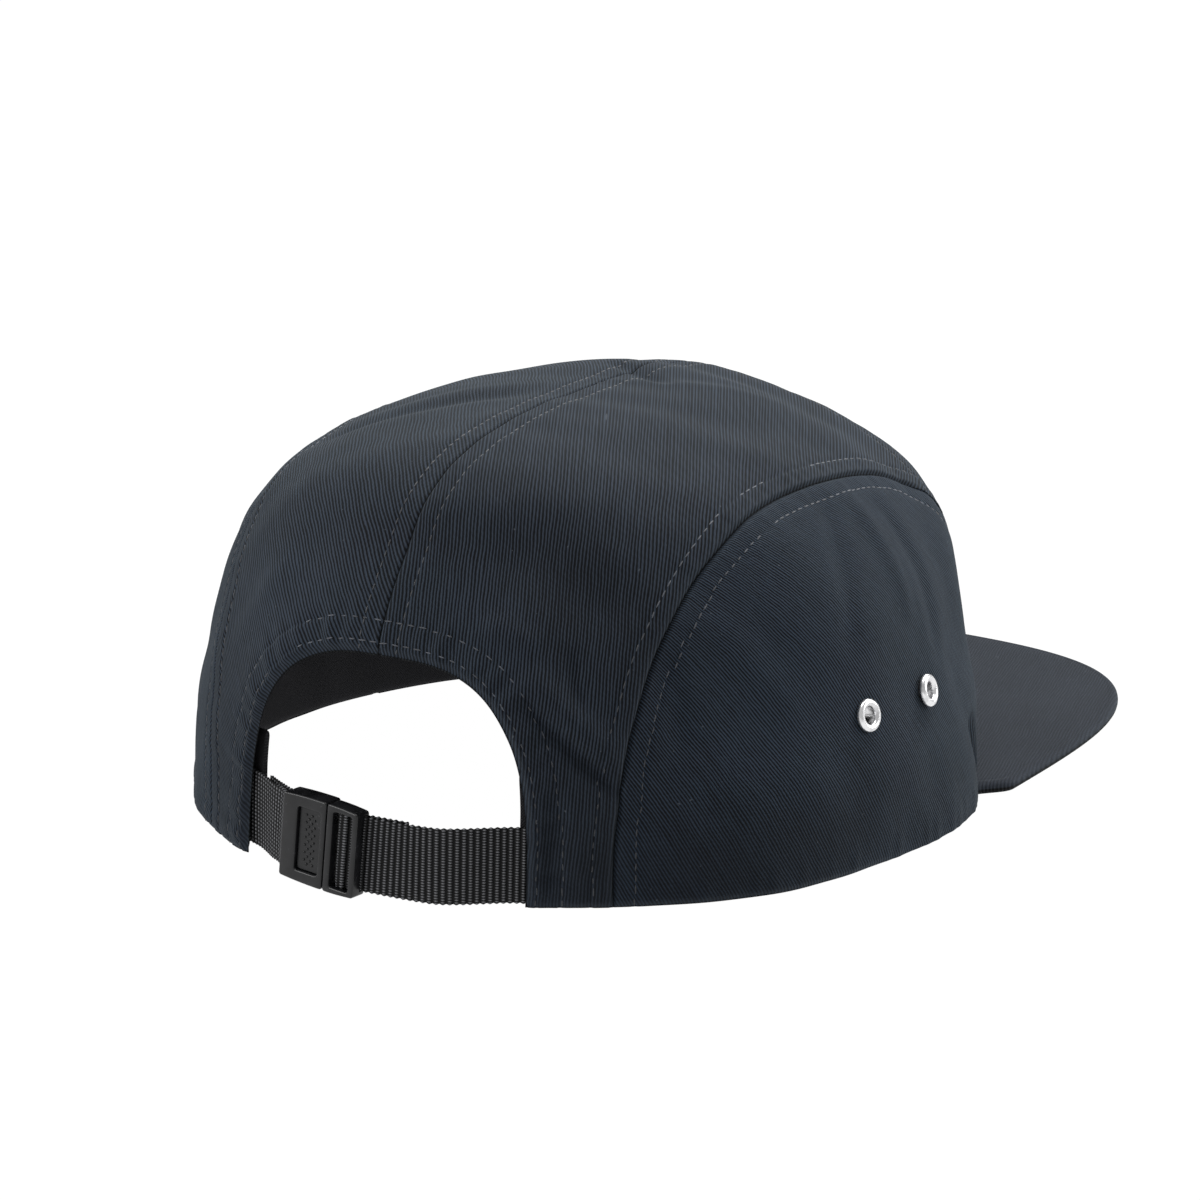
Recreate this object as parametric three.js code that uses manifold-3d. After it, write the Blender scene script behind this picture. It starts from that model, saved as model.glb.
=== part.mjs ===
// A five panel cap in millimetres: a cloth crown of five panels, a flat peak, an inner band,
// four eyelets in the side panels and a webbing strap with a buckle across the back opening.
// The crown is centred on the Z axis and stands on its rim at z = 0. The peak points to -Y,
// the opening is at +Y, and the wearer's right is toward -X.
import * as THREE from 'three';
import { mergeVertices } from 'three/addons/utils/BufferGeometryUtils.js';
import Module from 'manifold-3d';

const wasm = await Module();
wasm.setup();

// Driving sizes of the crown
const RIM_LENGTH = 198;
const RIM_WIDTH = 176.6;
const CROWN_HEIGHT = 95.5;
const RIM_ROUNDNESS = 2.03;
const CLOTH = 1.4;
const GAP = 0.3;

// Driving sizes of the seams between the panels
const ARCH_HEIGHT = 81;
const ARCH_BACK = 80.4;
const ARCH_FRONT = 66;
const FRONT_SEAM_SETBACK = 51;
const ARCH_ROUNDNESS = 2.62;
// Where the seam across the front ends on the arch, as an angle from the arch's back foot
const ARCH_CORNER = 0.28 * Math.PI;

// Driving sizes of the back opening and its strap
const OPENING_WIDTH = 72;
const OPENING_HEIGHT = 52;
const OPENING_ROUNDNESS = 2.6;
const WEBBING_WIDTH = 17;
const WEBBING_THICKNESS = 1;
const WEBBING_BULGE = 5.5;
const WEBBING_TAIL = 12;
const WEBBING_FOLD = 9;
// Room between two layers of the strap
const LAYER_GAP = 0.35;

// Driving sizes of the buckle
const BUCKLE_LENGTH = 20.4;
const BUCKLE_HEIGHT = 20;
const BUCKLE_THICKNESS = 5.2;
const BUCKLE_PLACE = 8.2;
const BUCKLE_EDGE = 0.6;
const BUCKLE_LIFT = 0.2;
const SOCKET_LENGTH = 11.8;
const SOCKET_TAPER = 1.6;
const SOCKET_FRAME = 1.4;
const PLUG_TAPER = 0.8;
const PLUG_FRAME = 1.4;
const PLUG_INNER_FRAME = 1.6;
const BAR_RADIUS = 0.7;
// Where the bars lie outward of the buckle's middle plane, and the strap behind the plug's frame
const BAR_OUT = -0.2;
const PASS_OUT = -0.67;
const WINDOW_LENGTH = 6.4;
const WINDOW_HEIGHT = 14.6;
const TONGUE_THICKNESS = 2;
const BUTTON_RECESS = 0.6;

// Driving sizes of the peak
const PEAK_REACH = 61;
const PEAK_WIDTH = 1.0023 * RIM_WIDTH;
const PEAK_THICKNESS = 3;
const PEAK_RISE = 1.6;
const PEAK_CORNER = 36;
const PEAK_FLARE = 12;
const PEAK_ROUNDNESS = 4;

// Driving sizes of the inner band and the eyelets
const BAND_HEIGHT = 28;
const BAND_THICKNESS = 1;
const BAND_OVERRUN = 3;
const BAND_LIFT = 0.8;
const EYELET_OUTSIDE = 8;
const EYELET_BORE = 3.8;
const EYELET_RIM = 1.1;
const EYELET_WALL = 0.7;
const WASHER_WIDTH = 1.2;
const WASHER_THICKNESS = 0.6;
const EYELET_HEIGHT = 34.5;
const EYELET_FRONT = -3;
const EYELET_SPACING = 26;

// Number of steps along the seams and pieces
const RISE_STEPS = 11;
const TOP_STEPS = 14;
const END_STEPS = 8;
const SEAM_SAMPLES = 240;
const PEAK_STEPS = 30;
const PEAK_RINGS = 7;
const BAND_STEPS = 56;
const ROUND_STEPS = 14;
const TURN_STEPS = 8;
// Halvings of a search for a point of the crown
const HALVINGS = 44;
// Length of a step along the webbing, and along the line that it follows
const WEBBING_STEP = 1.4;
const STRAP_STEP = 4;
// How far a cutter reaches past the face that it cuts
const PAST = 1;

// Level curves of the crown: height as a share of CROWN_HEIGHT, width of RIM_WIDTH,
// and front and back reach of RIM_LENGTH
const CROWN_ROWS = [
  { height: 0.00, width: 1.000, front: 0.500, back: 0.500 },
  { height: 0.20, width: 1.000, front: 0.488, back: 0.496 },
  { height: 0.40, width: 0.955, front: 0.472, back: 0.494 },
  { height: 0.60, width: 0.912, front: 0.466, back: 0.465 },
  { height: 0.75, width: 0.826, front: 0.420, back: 0.422 },
  { height: 0.87, width: 0.650, front: 0.340, back: 0.375 },
  { height: 0.95, width: 0.417, front: 0.262, back: 0.288 },
  { height: 0.99, width: 0.228, front: 0.184, back: 0.156 },
  { height: 1.00, width: 0.000, front: 0.000, back: 0.000 },
];

// Soft dents of the cloth: place as shares of RIM_WIDTH, RIM_LENGTH and CROWN_HEIGHT from the
// centre of the rim, size along each axis in the same shares, depth as a share of CROWN_HEIGHT
const DENTS = [
  { x: -0.10, y: -0.17, z: 0.97, wide: 0.30, long: 0.035, tall: 0.20, depth: 0.014 },
  { x: 0.22, y: -0.10, z: 0.90, wide: 0.12, long: 0.050, tall: 0.20, depth: 0.010 },
  { x: -0.24, y: 0.40, z: 0.62, wide: 0.05, long: 0.060, tall: 0.20, depth: 0.010 },
  { x: 0.25, y: 0.40, z: 0.55, wide: 0.06, long: 0.060, tall: 0.22, depth: 0.010 },
  { x: -0.50, y: -0.13, z: 0.60, wide: 0.10, long: 0.060, tall: 0.18, depth: 0.012 },
  { x: 0.50, y: -0.10, z: 0.60, wide: 0.10, long: 0.070, tall: 0.18, depth: 0.012 },
];

const CLOTH_FINISH = { color: 0x22262d, roughness: 0.92, metalness: 0 };
const BAND_FINISH = { color: 0x15161a, roughness: 0.95, metalness: 0 };
const WEBBING_FINISH = { color: 0x17181a, roughness: 0.8, metalness: 0 };
const PLASTIC_FINISH = { color: 0x1b1c1f, roughness: 0.38, metalness: 0 };
const METAL_FINISH = { color: 0xc9cbce, roughness: 0.22, metalness: 1 };

const cap = new THREE.Group();

function addPiece(name, geometry, finish) {
  const mesh = new THREE.Mesh(geometry, new THREE.MeshStandardMaterial(finish));
  mesh.name = name;
  cap.add(mesh);
  return mesh;
}

// Solids and booleans

function toSolid(geometry) {
  const bare = geometry.clone();
  bare.deleteAttribute('normal');
  bare.deleteAttribute('uv');
  const merged = mergeVertices(bare, 1e-4);
  return new wasm.Manifold(new wasm.Mesh({
    numProp: 3,
    vertProperties: new Float32Array(merged.attributes.position.array),
    triVerts: new Uint32Array(merged.index.array),
  }));
}

function toGeometry(solid) {
  const mesh = solid.getMesh();
  const geometry = new THREE.BufferGeometry();
  const places = new Float32Array(mesh.numVert * 3);
  for (let i = 0; i < mesh.numVert; i += 1) {
    for (let k = 0; k < 3; k += 1) {
      places[i * 3 + k] = mesh.vertProperties[i * mesh.numProp + k];
    }
  }
  geometry.setAttribute('position', new THREE.BufferAttribute(places, 3));
  geometry.setIndex(Array.from(mesh.triVerts));
  geometry.computeVertexNormals();
  return geometry;
}

// A closed wall between two grids of points with the same rows and columns
function wallBetween(outer, inner) {
  const rows = outer.length;
  const columns = outer[0].length;
  const top = rows - 1;
  const end = columns - 1;
  const points = [...outer.flat(), ...inner.flat()];
  const place = (layer, i, j) => layer * rows * columns + i * columns + j;
  const faces = [];
  const quad = (a, b, c, d) => faces.push(a, b, c, a, c, d);
  for (let i = 0; i + 1 < rows; i += 1) {
    for (let j = 0; j + 1 < columns; j += 1) {
      quad(place(0, i, j), place(0, i, j + 1), place(0, i + 1, j + 1), place(0, i + 1, j));
      quad(place(1, i, j), place(1, i + 1, j), place(1, i + 1, j + 1), place(1, i, j + 1));
    }
  }
  for (let j = 0; j + 1 < columns; j += 1) {
    quad(place(0, 0, j + 1), place(0, 0, j), place(1, 0, j), place(1, 0, j + 1));
    quad(place(0, top, j), place(0, top, j + 1), place(1, top, j + 1), place(1, top, j));
  }
  for (let i = 0; i + 1 < rows; i += 1) {
    quad(place(0, i, 0), place(0, i + 1, 0), place(1, i + 1, 0), place(1, i, 0));
    quad(place(0, i + 1, end), place(0, i, end), place(1, i, end), place(1, i + 1, end));
  }
  const geometry = new THREE.BufferGeometry();
  const places = points.flatMap((p) => [p.x, p.y, p.z]);
  geometry.setAttribute('position', new THREE.Float32BufferAttribute(places, 3));
  geometry.setIndex(faces);
  geometry.computeVertexNormals();
  return geometry;
}

// The crown surface

// A smooth curve through a column of the table that never overshoots its rows
function smoothColumn(places, values) {
  const count = places.length;
  const slopes = [];
  for (let i = 0; i + 1 < count; i += 1) {
    slopes.push((values[i + 1] - values[i]) / (places[i + 1] - places[i]));
  }
  const tangents = [slopes[0]];
  for (let i = 1; i + 1 < count; i += 1) {
    const product = slopes[i - 1] * slopes[i];
    tangents.push(product > 0 ? (2 * product) / (slopes[i - 1] + slopes[i]) : 0);
  }
  tangents.push(slopes[count - 2]);
  return (place) => {
    const found = places.findIndex((p) => p > place);
    const i = found < 0 ? count - 2 : Math.max(found - 1, 0);
    const step = places[i + 1] - places[i];
    const s = (place - places[i]) / step;
    const rise = values[i + 1] - values[i];
    const a = step * tangents[i] - rise;
    const b = rise - step * tangents[i + 1];
    return values[i] + s * rise + s * (1 - s) * (a * (1 - s) + b * s);
  };
}

const LATITUDES = CROWN_ROWS.map((row) => Math.asin(row.height));
const widthShare = smoothColumn(LATITUDES, CROWN_ROWS.map((row) => row.width));
const frontShare = smoothColumn(LATITUDES, CROWN_ROWS.map((row) => row.front));
const backShare = smoothColumn(LATITUDES, CROWN_ROWS.map((row) => row.back));

// The level curve at a height, on the outside or a distance inside it
function levelCurve(z, inset) {
  const height = CROWN_HEIGHT - inset;
  const latitude = Math.asin(THREE.MathUtils.clamp(z / height, 0, 1));
  const narrow = (RIM_WIDTH - 2 * inset) / RIM_WIDTH;
  const shorten = (RIM_LENGTH - 2 * inset) / RIM_LENGTH;
  return {
    half: Math.max(0.5 * RIM_WIDTH * narrow * widthShare(latitude), 1e-6),
    front: Math.max(RIM_LENGTH * shorten * frontShare(latitude), 1e-6),
    back: Math.max(RIM_LENGTH * shorten * backShare(latitude), 1e-6),
  };
}

function halfWidthAt(y, z, inset) {
  const level = levelCurve(z, inset);
  const reach = y < 0 ? level.front : level.back;
  const rest = Math.max(0, 1 - (Math.abs(y) / reach) ** RIM_ROUNDNESS);
  return level.half * rest ** (1 / RIM_ROUNDNESS);
}

function reachAt(x, z, inset, side) {
  const level = levelCurve(z, inset);
  const rest = Math.max(0, 1 - (Math.abs(x) / level.half) ** RIM_ROUNDNESS);
  return (side < 0 ? -level.front : level.back) * rest ** (1 / RIM_ROUNDNESS);
}

function dentDepth(point) {
  let depth = 0;
  for (const dent of DENTS) {
    const across = (point.x / RIM_WIDTH - dent.x) / dent.wide;
    const along = (point.y / RIM_LENGTH - dent.y) / dent.long;
    const up = (point.z / CROWN_HEIGHT - dent.z) / dent.tall;
    depth += dent.depth * CROWN_HEIGHT * Math.exp(-across * across - along * along - up * up);
  }
  return depth;
}

// The point where the line from the centre of the rim through a point meets the crown wall
function ontoCrown(point, inset) {
  const direction = point.clone().normalize();
  let near = 0;
  let far = RIM_LENGTH + CROWN_HEIGHT;
  for (let step = 0; step < HALVINGS; step += 1) {
    const middle = (near + far) / 2;
    const x = direction.x * middle;
    const y = direction.y * middle;
    const z = direction.z * middle;
    const level = levelCurve(z, inset);
    const reach = y < 0 ? level.front : level.back;
    const across = (Math.abs(x) / level.half) ** RIM_ROUNDNESS;
    const along = (Math.abs(y) / reach) ** RIM_ROUNDNESS;
    if (across + along < 1 && z < CROWN_HEIGHT - inset) near = middle;
    else far = middle;
  }
  const surface = direction.clone().multiplyScalar(near);
  return surface.addScaledVector(direction, -dentDepth(surface));
}

// Seams, each as evenly spaced points of the outer surface

function evenly(curve, from, to, steps) {
  const fine = [];
  for (let k = 0; k <= SEAM_SAMPLES; k += 1) {
    fine.push(curve(from + ((to - from) * k) / SEAM_SAMPLES));
  }
  return new THREE.CatmullRomCurve3(fine, false, 'centripetal').getSpacedPoints(steps);
}

const bend = (value, power) => Math.sign(value) * Math.abs(value) ** power;
const ARCH_MIDDLE = (ARCH_BACK - ARCH_FRONT) / 2;
const ARCH_HALF = (ARCH_BACK + ARCH_FRONT) / 2;

// The seam round a side panel, from the rim at the back over the top to the rim at the front
function archPoint(side, angle) {
  const y = ARCH_MIDDLE + ARCH_HALF * bend(Math.cos(angle), 2 / ARCH_ROUNDNESS);
  const z = ARCH_HEIGHT * bend(Math.sin(angle), 2 / ARCH_ROUNDNESS);
  return new THREE.Vector3(side * halfWidthAt(y, z, 0), y, z);
}

// The edge of the back opening, from the rim to the centre seam
function openingPoint(side, angle) {
  const x = side * 0.5 * OPENING_WIDTH * bend(Math.cos(angle), 2 / OPENING_ROUNDNESS);
  const z = OPENING_HEIGHT * bend(Math.sin(angle), 2 / OPENING_ROUNDNESS);
  return new THREE.Vector3(x, reachAt(x, z, 0, 1), z);
}

// The point of the outer surface straight above a place in plan
function topPoint(x, y) {
  let low = 0;
  let high = CROWN_HEIGHT;
  for (let step = 0; step < HALVINGS; step += 1) {
    const z = (low + high) / 2;
    if (halfWidthAt(y, z, 0) > Math.abs(x)) low = z;
    else high = z;
  }
  return new THREE.Vector3(x, y, low);
}

function seamsOf(side) {
  const frontCorner = Math.PI - ARCH_CORNER;
  const backRise = evenly((a) => archPoint(side, a), 0, ARCH_CORNER, RISE_STEPS);
  const over = evenly((a) => archPoint(side, a), ARCH_CORNER, frontCorner, TOP_STEPS);
  const frontRise = evenly((a) => archPoint(side, a), frontCorner, Math.PI, RISE_STEPS);
  const joint = archPoint(side, frontCorner);
  const middle = topPoint(0, -FRONT_SEAM_SETBACK);
  const acrossTop = evenly((s) => {
    const y = THREE.MathUtils.lerp(middle.y, joint.y, (1 - s) ** 2);
    return topPoint(joint.x * (1 - s), y);
  }, 0, 1, END_STEPS);
  const opening = evenly((a) => openingPoint(side, a), 0, Math.PI / 2, RISE_STEPS);
  const openingTop = openingPoint(side, Math.PI / 2);
  const backAngle = Math.atan2(openingTop.y, openingTop.z);
  const frontAngle = Math.atan2(middle.y, middle.z);
  const overTop = (a) => ontoCrown(new THREE.Vector3(0, Math.sin(a), Math.cos(a)), 0);
  const centre = evenly(overTop, backAngle, frontAngle, TOP_STEPS);
  return { backRise, over, frontRise, acrossTop, opening, centre };
}

function rimLine(side, from, to, steps) {
  return evenly((y) => new THREE.Vector3(side * halfWidthAt(y, 0, 0), y, 0), from, to, steps);
}

// A four-sided patch between two pairs of facing edges
function patch(bottom, top, left, right) {
  const grid = [];
  for (let i = 0; i < left.length; i += 1) {
    const v = i / (left.length - 1);
    const row = [];
    for (let j = 0; j < bottom.length; j += 1) {
      const u = j / (bottom.length - 1);
      const ruled = bottom[j].clone().lerp(top[j], v);
      const crossed = left[i].clone().lerp(right[i], u);
      const low = bottom[0].clone().lerp(bottom.at(-1), u);
      const high = top[0].clone().lerp(top.at(-1), u);
      row.push(ruled.add(crossed).sub(low.lerp(high, v)));
    }
    grid.push(row);
  }
  return grid;
}

// Draws the edges of a patch back from its seams by half a gap, but not its rim on the table
function drawBack(grid) {
  const rows = grid.length;
  const columns = grid[0].length;
  const shifts = grid.map((row) => row.map(() => new THREE.Vector3()));
  const draw = (i, j, inI, inJ, i0, j0, i1, j1) => {
    const tangent = grid[i1][j1].clone().sub(grid[i0][j0]).normalize();
    const inward = grid[inI][inJ].clone().sub(grid[i][j]);
    inward.addScaledVector(tangent, -inward.dot(tangent)).normalize();
    shifts[i][j].addScaledVector(inward, GAP / 2);
  };
  for (let i = 0; i < rows; i += 1) {
    const below = Math.max(i - 1, 0);
    const above = Math.min(i + 1, rows - 1);
    draw(i, 0, i, 1, below, 0, above, 0);
    draw(i, columns - 1, i, columns - 2, below, columns - 1, above, columns - 1);
  }
  for (let j = 0; j < columns; j += 1) {
    const before = Math.max(j - 1, 0);
    const after = Math.min(j + 1, columns - 1);
    draw(rows - 1, j, rows - 2, j, rows - 1, before, rows - 1, after);
  }
  return grid.map((row, i) => row.map((point, j) => {
    const moved = point.clone().add(shifts[i][j]);
    if (i === 0) moved.z = 0;
    return moved;
  }));
}

function panelSolid(bottom, top, left, right) {
  const spread = patch(bottom, top, left, right).map((row) => row.map((p) => ontoCrown(p, 0)));
  const outer = drawBack(spread).map((row) => row.map((p) => ontoCrown(p, 0)));
  const inner = outer.map((row) => row.map((p) => ontoCrown(p, CLOTH)));
  return wallBetween(outer, inner);
}

// The peak, with a margin all round when it serves as a cutter under the crown

function peakSolid(margin, floor) {
  const steps = PEAK_STEPS;
  const rings = PEAK_RINGS;
  const cornerHalf = halfWidthAt(-PEAK_CORNER, 0, 0);
  const innerEdge = [];
  const outerEdge = [];
  const fullReach = RIM_LENGTH / 2 + PEAK_REACH - PEAK_CORNER;
  for (let k = 0; k <= steps; k += 1) {
    // smaller turns near the crown, where the rounded outline moves fastest
    const angle = Math.PI * THREE.MathUtils.smoothstep(k / steps, 0, 1);
    const x = 0.5 * PEAK_WIDTH * bend(Math.cos(angle), 2 / PEAK_ROUNDNESS);
    const y = -PEAK_CORNER - fullReach * bend(Math.sin(angle), 2 / PEAK_ROUNDNESS);
    const flare = THREE.MathUtils.smoothstep(-y - PEAK_CORNER, 0, PEAK_FLARE);
    const narrow = THREE.MathUtils.lerp((2 * cornerHalf) / PEAK_WIDTH, 1, flare);
    outerEdge.push(new THREE.Vector3(x * narrow, y, 0));
    const turn = (k / steps - 0.5) * 2;
    const innerY = -RIM_LENGTH / 2 + CLOTH;
    const cornerAngle = Math.acos(PEAK_CORNER / (-innerY));
    const theta = turn * cornerAngle;
    const half = halfWidthAt(innerY * Math.cos(theta), 0, CLOTH);
    innerEdge.push(new THREE.Vector3(-Math.sign(turn) * half, innerY * Math.cos(theta), 0));
  }
  const rise = (x) => PEAK_RISE * (1 - Math.min(1, (2 * Math.abs(x)) / PEAK_WIDTH) ** 2);
  const lower = [];
  const upper = [];
  for (let i = 0; i <= rings; i += 1) {
    const share = i / rings;
    const bottomRow = [];
    const topRow = [];
    for (let k = 0; k <= steps; k += 1) {
      const p = innerEdge[k].clone().lerp(outerEdge[k], share);
      const out = new THREE.Vector3(p.x / (RIM_WIDTH / 2), (p.y + PEAK_CORNER) / fullReach, 0);
      out.normalize();
      if (i === 0) p.addScaledVector(out, -margin);
      if (i === rings) p.addScaledVector(out, margin);
      bottomRow.push(new THREE.Vector3(p.x, p.y, floor ?? rise(p.x)));
      topRow.push(new THREE.Vector3(p.x, p.y, rise(p.x) + PEAK_THICKNESS + margin));
    }
    lower.push(bottomRow);
    upper.push(topRow);
  }
  return wallBetween(upper, lower);
}

const PEAK_CUTTER_FLOOR = -5;
const peakCutter = toSolid(peakSolid(GAP, PEAK_CUTTER_FLOOR));

// The eyelets: a rolled ring through the wall, turned round its own axis

function eyeletSolid() {
  const outside = EYELET_OUTSIDE / 2;
  const bore = EYELET_BORE / 2;
  const barrel = bore + EYELET_WALL;
  const washer = barrel + WASHER_WIDTH;
  const width = outside - bore;
  const face = GAP;
  const back = -CLOTH - 2 * GAP;
  const end = back - WASHER_THICKNESS;
  const profile = [
    [bore, end], [washer, end], [washer, back], [barrel, back], [barrel, face],
    [bore + 0.9 * width, face], [outside, face + 0.45 * EYELET_RIM],
    [bore + 0.7 * width, face + EYELET_RIM], [bore + 0.25 * width, face + 0.9 * EYELET_RIM],
    [bore, face + 0.3 * EYELET_RIM], [bore, end],
  ];
  const outline = profile.map(([r, z]) => new THREE.Vector2(r, z));
  const geometry = new THREE.LatheGeometry(outline, ROUND_STEPS);
  geometry.rotateX(Math.PI / 2);
  return geometry;
}

function eyeletPlace(side, y) {
  const onSide = (sideY, sideZ) => {
    const x = side * halfWidthAt(sideY, sideZ, 0);
    return ontoCrown(new THREE.Vector3(x, sideY, sideZ), 0);
  };
  const at = onSide(y, EYELET_HEIGHT);
  const reach = EYELET_OUTSIDE / 2;
  const surface = (dy, dz) => onSide(at.y + dy, at.z + dz);
  const alongY = surface(reach, 0).sub(surface(-reach, 0));
  const alongZ = surface(0, reach).sub(surface(0, -reach));
  const normal = alongY.cross(alongZ).normalize();
  if (normal.x * side < 0) normal.negate();
  return { at, normal };
}

function turnedTo(normal) {
  return new THREE.Quaternion().setFromUnitVectors(new THREE.Vector3(0, 0, 1), normal);
}

const eyelets = [];
for (const [sideName, side] of [['right', -1], ['left', 1]]) {
  for (const [placeName, y] of [['front', EYELET_FRONT], ['back', EYELET_FRONT + EYELET_SPACING]]) {
    eyelets.push({ name: `eyelet_${sideName}_${placeName}`, side, ...eyeletPlace(side, y) });
  }
}

function eyeletHole({ at, normal }) {
  const radius = EYELET_BORE / 2 + EYELET_WALL + GAP;
  const depth = 2 * (CLOTH + PAST);
  const cutter = new THREE.CylinderGeometry(radius, radius, depth, ROUND_STEPS);
  cutter.rotateX(Math.PI / 2);
  cutter.applyQuaternion(turnedTo(normal));
  cutter.translate(at.x, at.y, at.z);
  return toSolid(cutter);
}

// The five panels

for (const [sideName, side] of [['right', -1], ['left', 1]]) {
  const seams = seamsOf(side);
  const sideBottom = rimLine(side, ARCH_BACK, -ARCH_FRONT, TOP_STEPS);
  const frontDown = [...seams.frontRise].reverse();
  const sideEdges = side < 0
    ? [sideBottom, seams.over, seams.backRise, frontDown]
    : [[...sideBottom].reverse(), [...seams.over].reverse(), frontDown, seams.backRise];
  let sidePanel = toSolid(panelSolid(...sideEdges)).subtract(peakCutter);
  for (const eyelet of eyelets.filter((e) => e.side === side)) {
    sidePanel = sidePanel.subtract(eyeletHole(eyelet));
  }
  addPiece(`side_panel_${sideName}`, toGeometry(sidePanel), CLOTH_FINISH);

  const openingCorner = openingPoint(side, 0);
  const backRim = evenly((s) => {
    const x = THREE.MathUtils.lerp(openingCorner.x, archPoint(side, 0).x, s);
    return new THREE.Vector3(x, reachAt(x, 0, 0, 1), 0);
  }, 0, 1, END_STEPS);
  const innerEdge = [...seams.opening, ...seams.centre.slice(1)];
  const outerEdge = [...seams.backRise, ...seams.over.slice(1)];
  const frontEdge = [...seams.acrossTop].reverse();
  const topEdges = side < 0
    ? [backRim, frontEdge, innerEdge, outerEdge]
    : [[...backRim].reverse(), [...frontEdge].reverse(), outerEdge, innerEdge];
  addPiece(`top_panel_${sideName}`, panelSolid(...topEdges), CLOTH_FINISH);
}

{
  const right = seamsOf(-1);
  const left = seamsOf(1);
  const bottom = evenly((s) => {
    const half = halfWidthAt(-ARCH_FRONT, 0, 0);
    const x = -half * Math.cos(s * Math.PI);
    return new THREE.Vector3(x, reachAt(x, 0, 0, -1), 0);
  }, 0, 1, 2 * END_STEPS);
  const top = [...right.acrossTop, ...[...left.acrossTop].reverse().slice(1)];
  const rightSide = [...right.frontRise].reverse();
  const leftSide = [...left.frontRise].reverse();
  const frontPanel = toSolid(panelSolid(bottom, top, rightSide, leftSide)).subtract(peakCutter);
  addPiece('front_panel', toGeometry(frontPanel), CLOTH_FINISH);
}

addPiece('peak', peakSolid(0), CLOTH_FINISH);

for (const { name, at, normal } of eyelets) {
  const ring = addPiece(name, eyeletSolid(), METAL_FINISH);
  ring.position.copy(at);
  ring.quaternion.copy(turnedTo(normal));
}

// The inner band, hung inside the crown wall from one side of the opening round to the other

const STRAP_MIDDLE = BUCKLE_LIFT + BUCKLE_HEIGHT / 2;
const STRAP_TOP = STRAP_MIDDLE + WEBBING_WIDTH / 2;
const TAIL_INSET = CLOTH + 2 * GAP + WEBBING_THICKNESS;

// Where the band lies past the strap's tails, and where it meets the wall again
const BAND_CLEAR = WEBBING_TAIL + 5;
const BAND_BACK = 3 * WEBBING_TAIL;

function bandSolid() {
  const endX = OPENING_WIDTH / 2 - BAND_OVERRUN;
  const rim = levelCurve(0, TAIL_INSET);
  const endAngle = Math.PI - Math.asin(bend(endX / rim.half, RIM_ROUNDNESS / 2));
  const wall = (depth, z) => {
    const row = [];
    for (let k = 0; k <= BAND_STEPS; k += 1) {
      const angle = THREE.MathUtils.lerp(-endAngle, endAngle, k / BAND_STEPS);
      const fromEnd = (endAngle - Math.abs(angle)) * 0.5 * RIM_LENGTH;
      const clear = THREE.MathUtils.smoothstep(fromEnd, BAND_CLEAR, BAND_BACK);
      const inset = THREE.MathUtils.lerp(TAIL_INSET, CLOTH + GAP, clear) + depth;
      const level = levelCurve(THREE.MathUtils.lerp(Math.max(z, STRAP_TOP), z, clear), inset);
      const reach = Math.cos(angle) > 0 ? level.front : level.back;
      const x = level.half * bend(Math.sin(angle), 2 / RIM_ROUNDNESS);
      const y = -reach * bend(Math.cos(angle), 2 / RIM_ROUNDNESS);
      row.push(new THREE.Vector3(x, y, z));
    }
    return row;
  };
  const heights = [BAND_LIFT, (BAND_LIFT + BAND_HEIGHT) / 2, BAND_HEIGHT];
  const outside = heights.map((z) => wall(0, z));
  const inside = heights.map((z) => wall(BAND_THICKNESS, z));
  return wallBetween(outside, inside);
}

addPiece('sweatband', bandSolid(), BAND_FINISH);

// The strap's middle line in plan: inside the wall at its ends, bulging out between them

function strapPlan(x) {
  const inside = CLOTH + GAP + WEBBING_THICKNESS / 2;
  const edge = OPENING_WIDTH / 2;
  const bulge = WEBBING_BULGE * (1 - THREE.MathUtils.smoothstep(Math.abs(x), 0.5 * edge, 0.95 * edge));
  return new THREE.Vector2(x, reachAt(x, STRAP_TOP, inside, 1) + bulge);
}

const buckleCentre = strapPlan(BUCKLE_PLACE);
const buckleAlong = strapPlan(BUCKLE_PLACE + 1).sub(strapPlan(BUCKLE_PLACE - 1)).normalize();
const buckleOut = new THREE.Vector2(-buckleAlong.y, buckleAlong.x);

// A place in plan from its distance along the buckle and out of it
function onBuckle(along, out) {
  return buckleCentre.clone().addScaledVector(buckleAlong, along).addScaledVector(buckleOut, out);
}

// A strip of webbing that follows a line in plan
function webbing(line) {
  const curve = new THREE.SplineCurve(line);
  const steps = Math.round(curve.getLength() / WEBBING_STEP);
  const left = [];
  const right = [];
  for (let k = 0; k <= steps; k += 1) {
    const at = curve.getPointAt(k / steps);
    const tangent = curve.getTangentAt(k / steps);
    const across = new THREE.Vector2(-tangent.y, tangent.x).multiplyScalar(WEBBING_THICKNESS / 2);
    left.push(at.clone().add(across));
    right.push(at.clone().sub(across));
  }
  const shape = new THREE.Shape([...left, ...right.reverse()]);
  const geometry = new THREE.ExtrudeGeometry(shape, { depth: WEBBING_WIDTH, bevelEnabled: false });
  geometry.translate(0, 0, STRAP_MIDDLE - WEBBING_WIDTH / 2);
  return geometry;
}

// A turn of the strap round a bar, from its outer side to its inner side
const TURN = BAR_RADIUS + GAP + WEBBING_THICKNESS / 2;
const TURN_FROM = THREE.MathUtils.degToRad(130);
const TURN_TO = THREE.MathUtils.degToRad(-90);

function turnRound(bar, toward) {
  const points = [];
  for (let k = 0; k <= TURN_STEPS; k += 1) {
    const angle = THREE.MathUtils.lerp(TURN_FROM, TURN_TO, k / TURN_STEPS);
    const along = bar + toward * TURN * Math.cos(angle);
    points.push(onBuckle(along, BAR_OUT + TURN * Math.sin(angle)));
  }
  return points;
}

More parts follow.
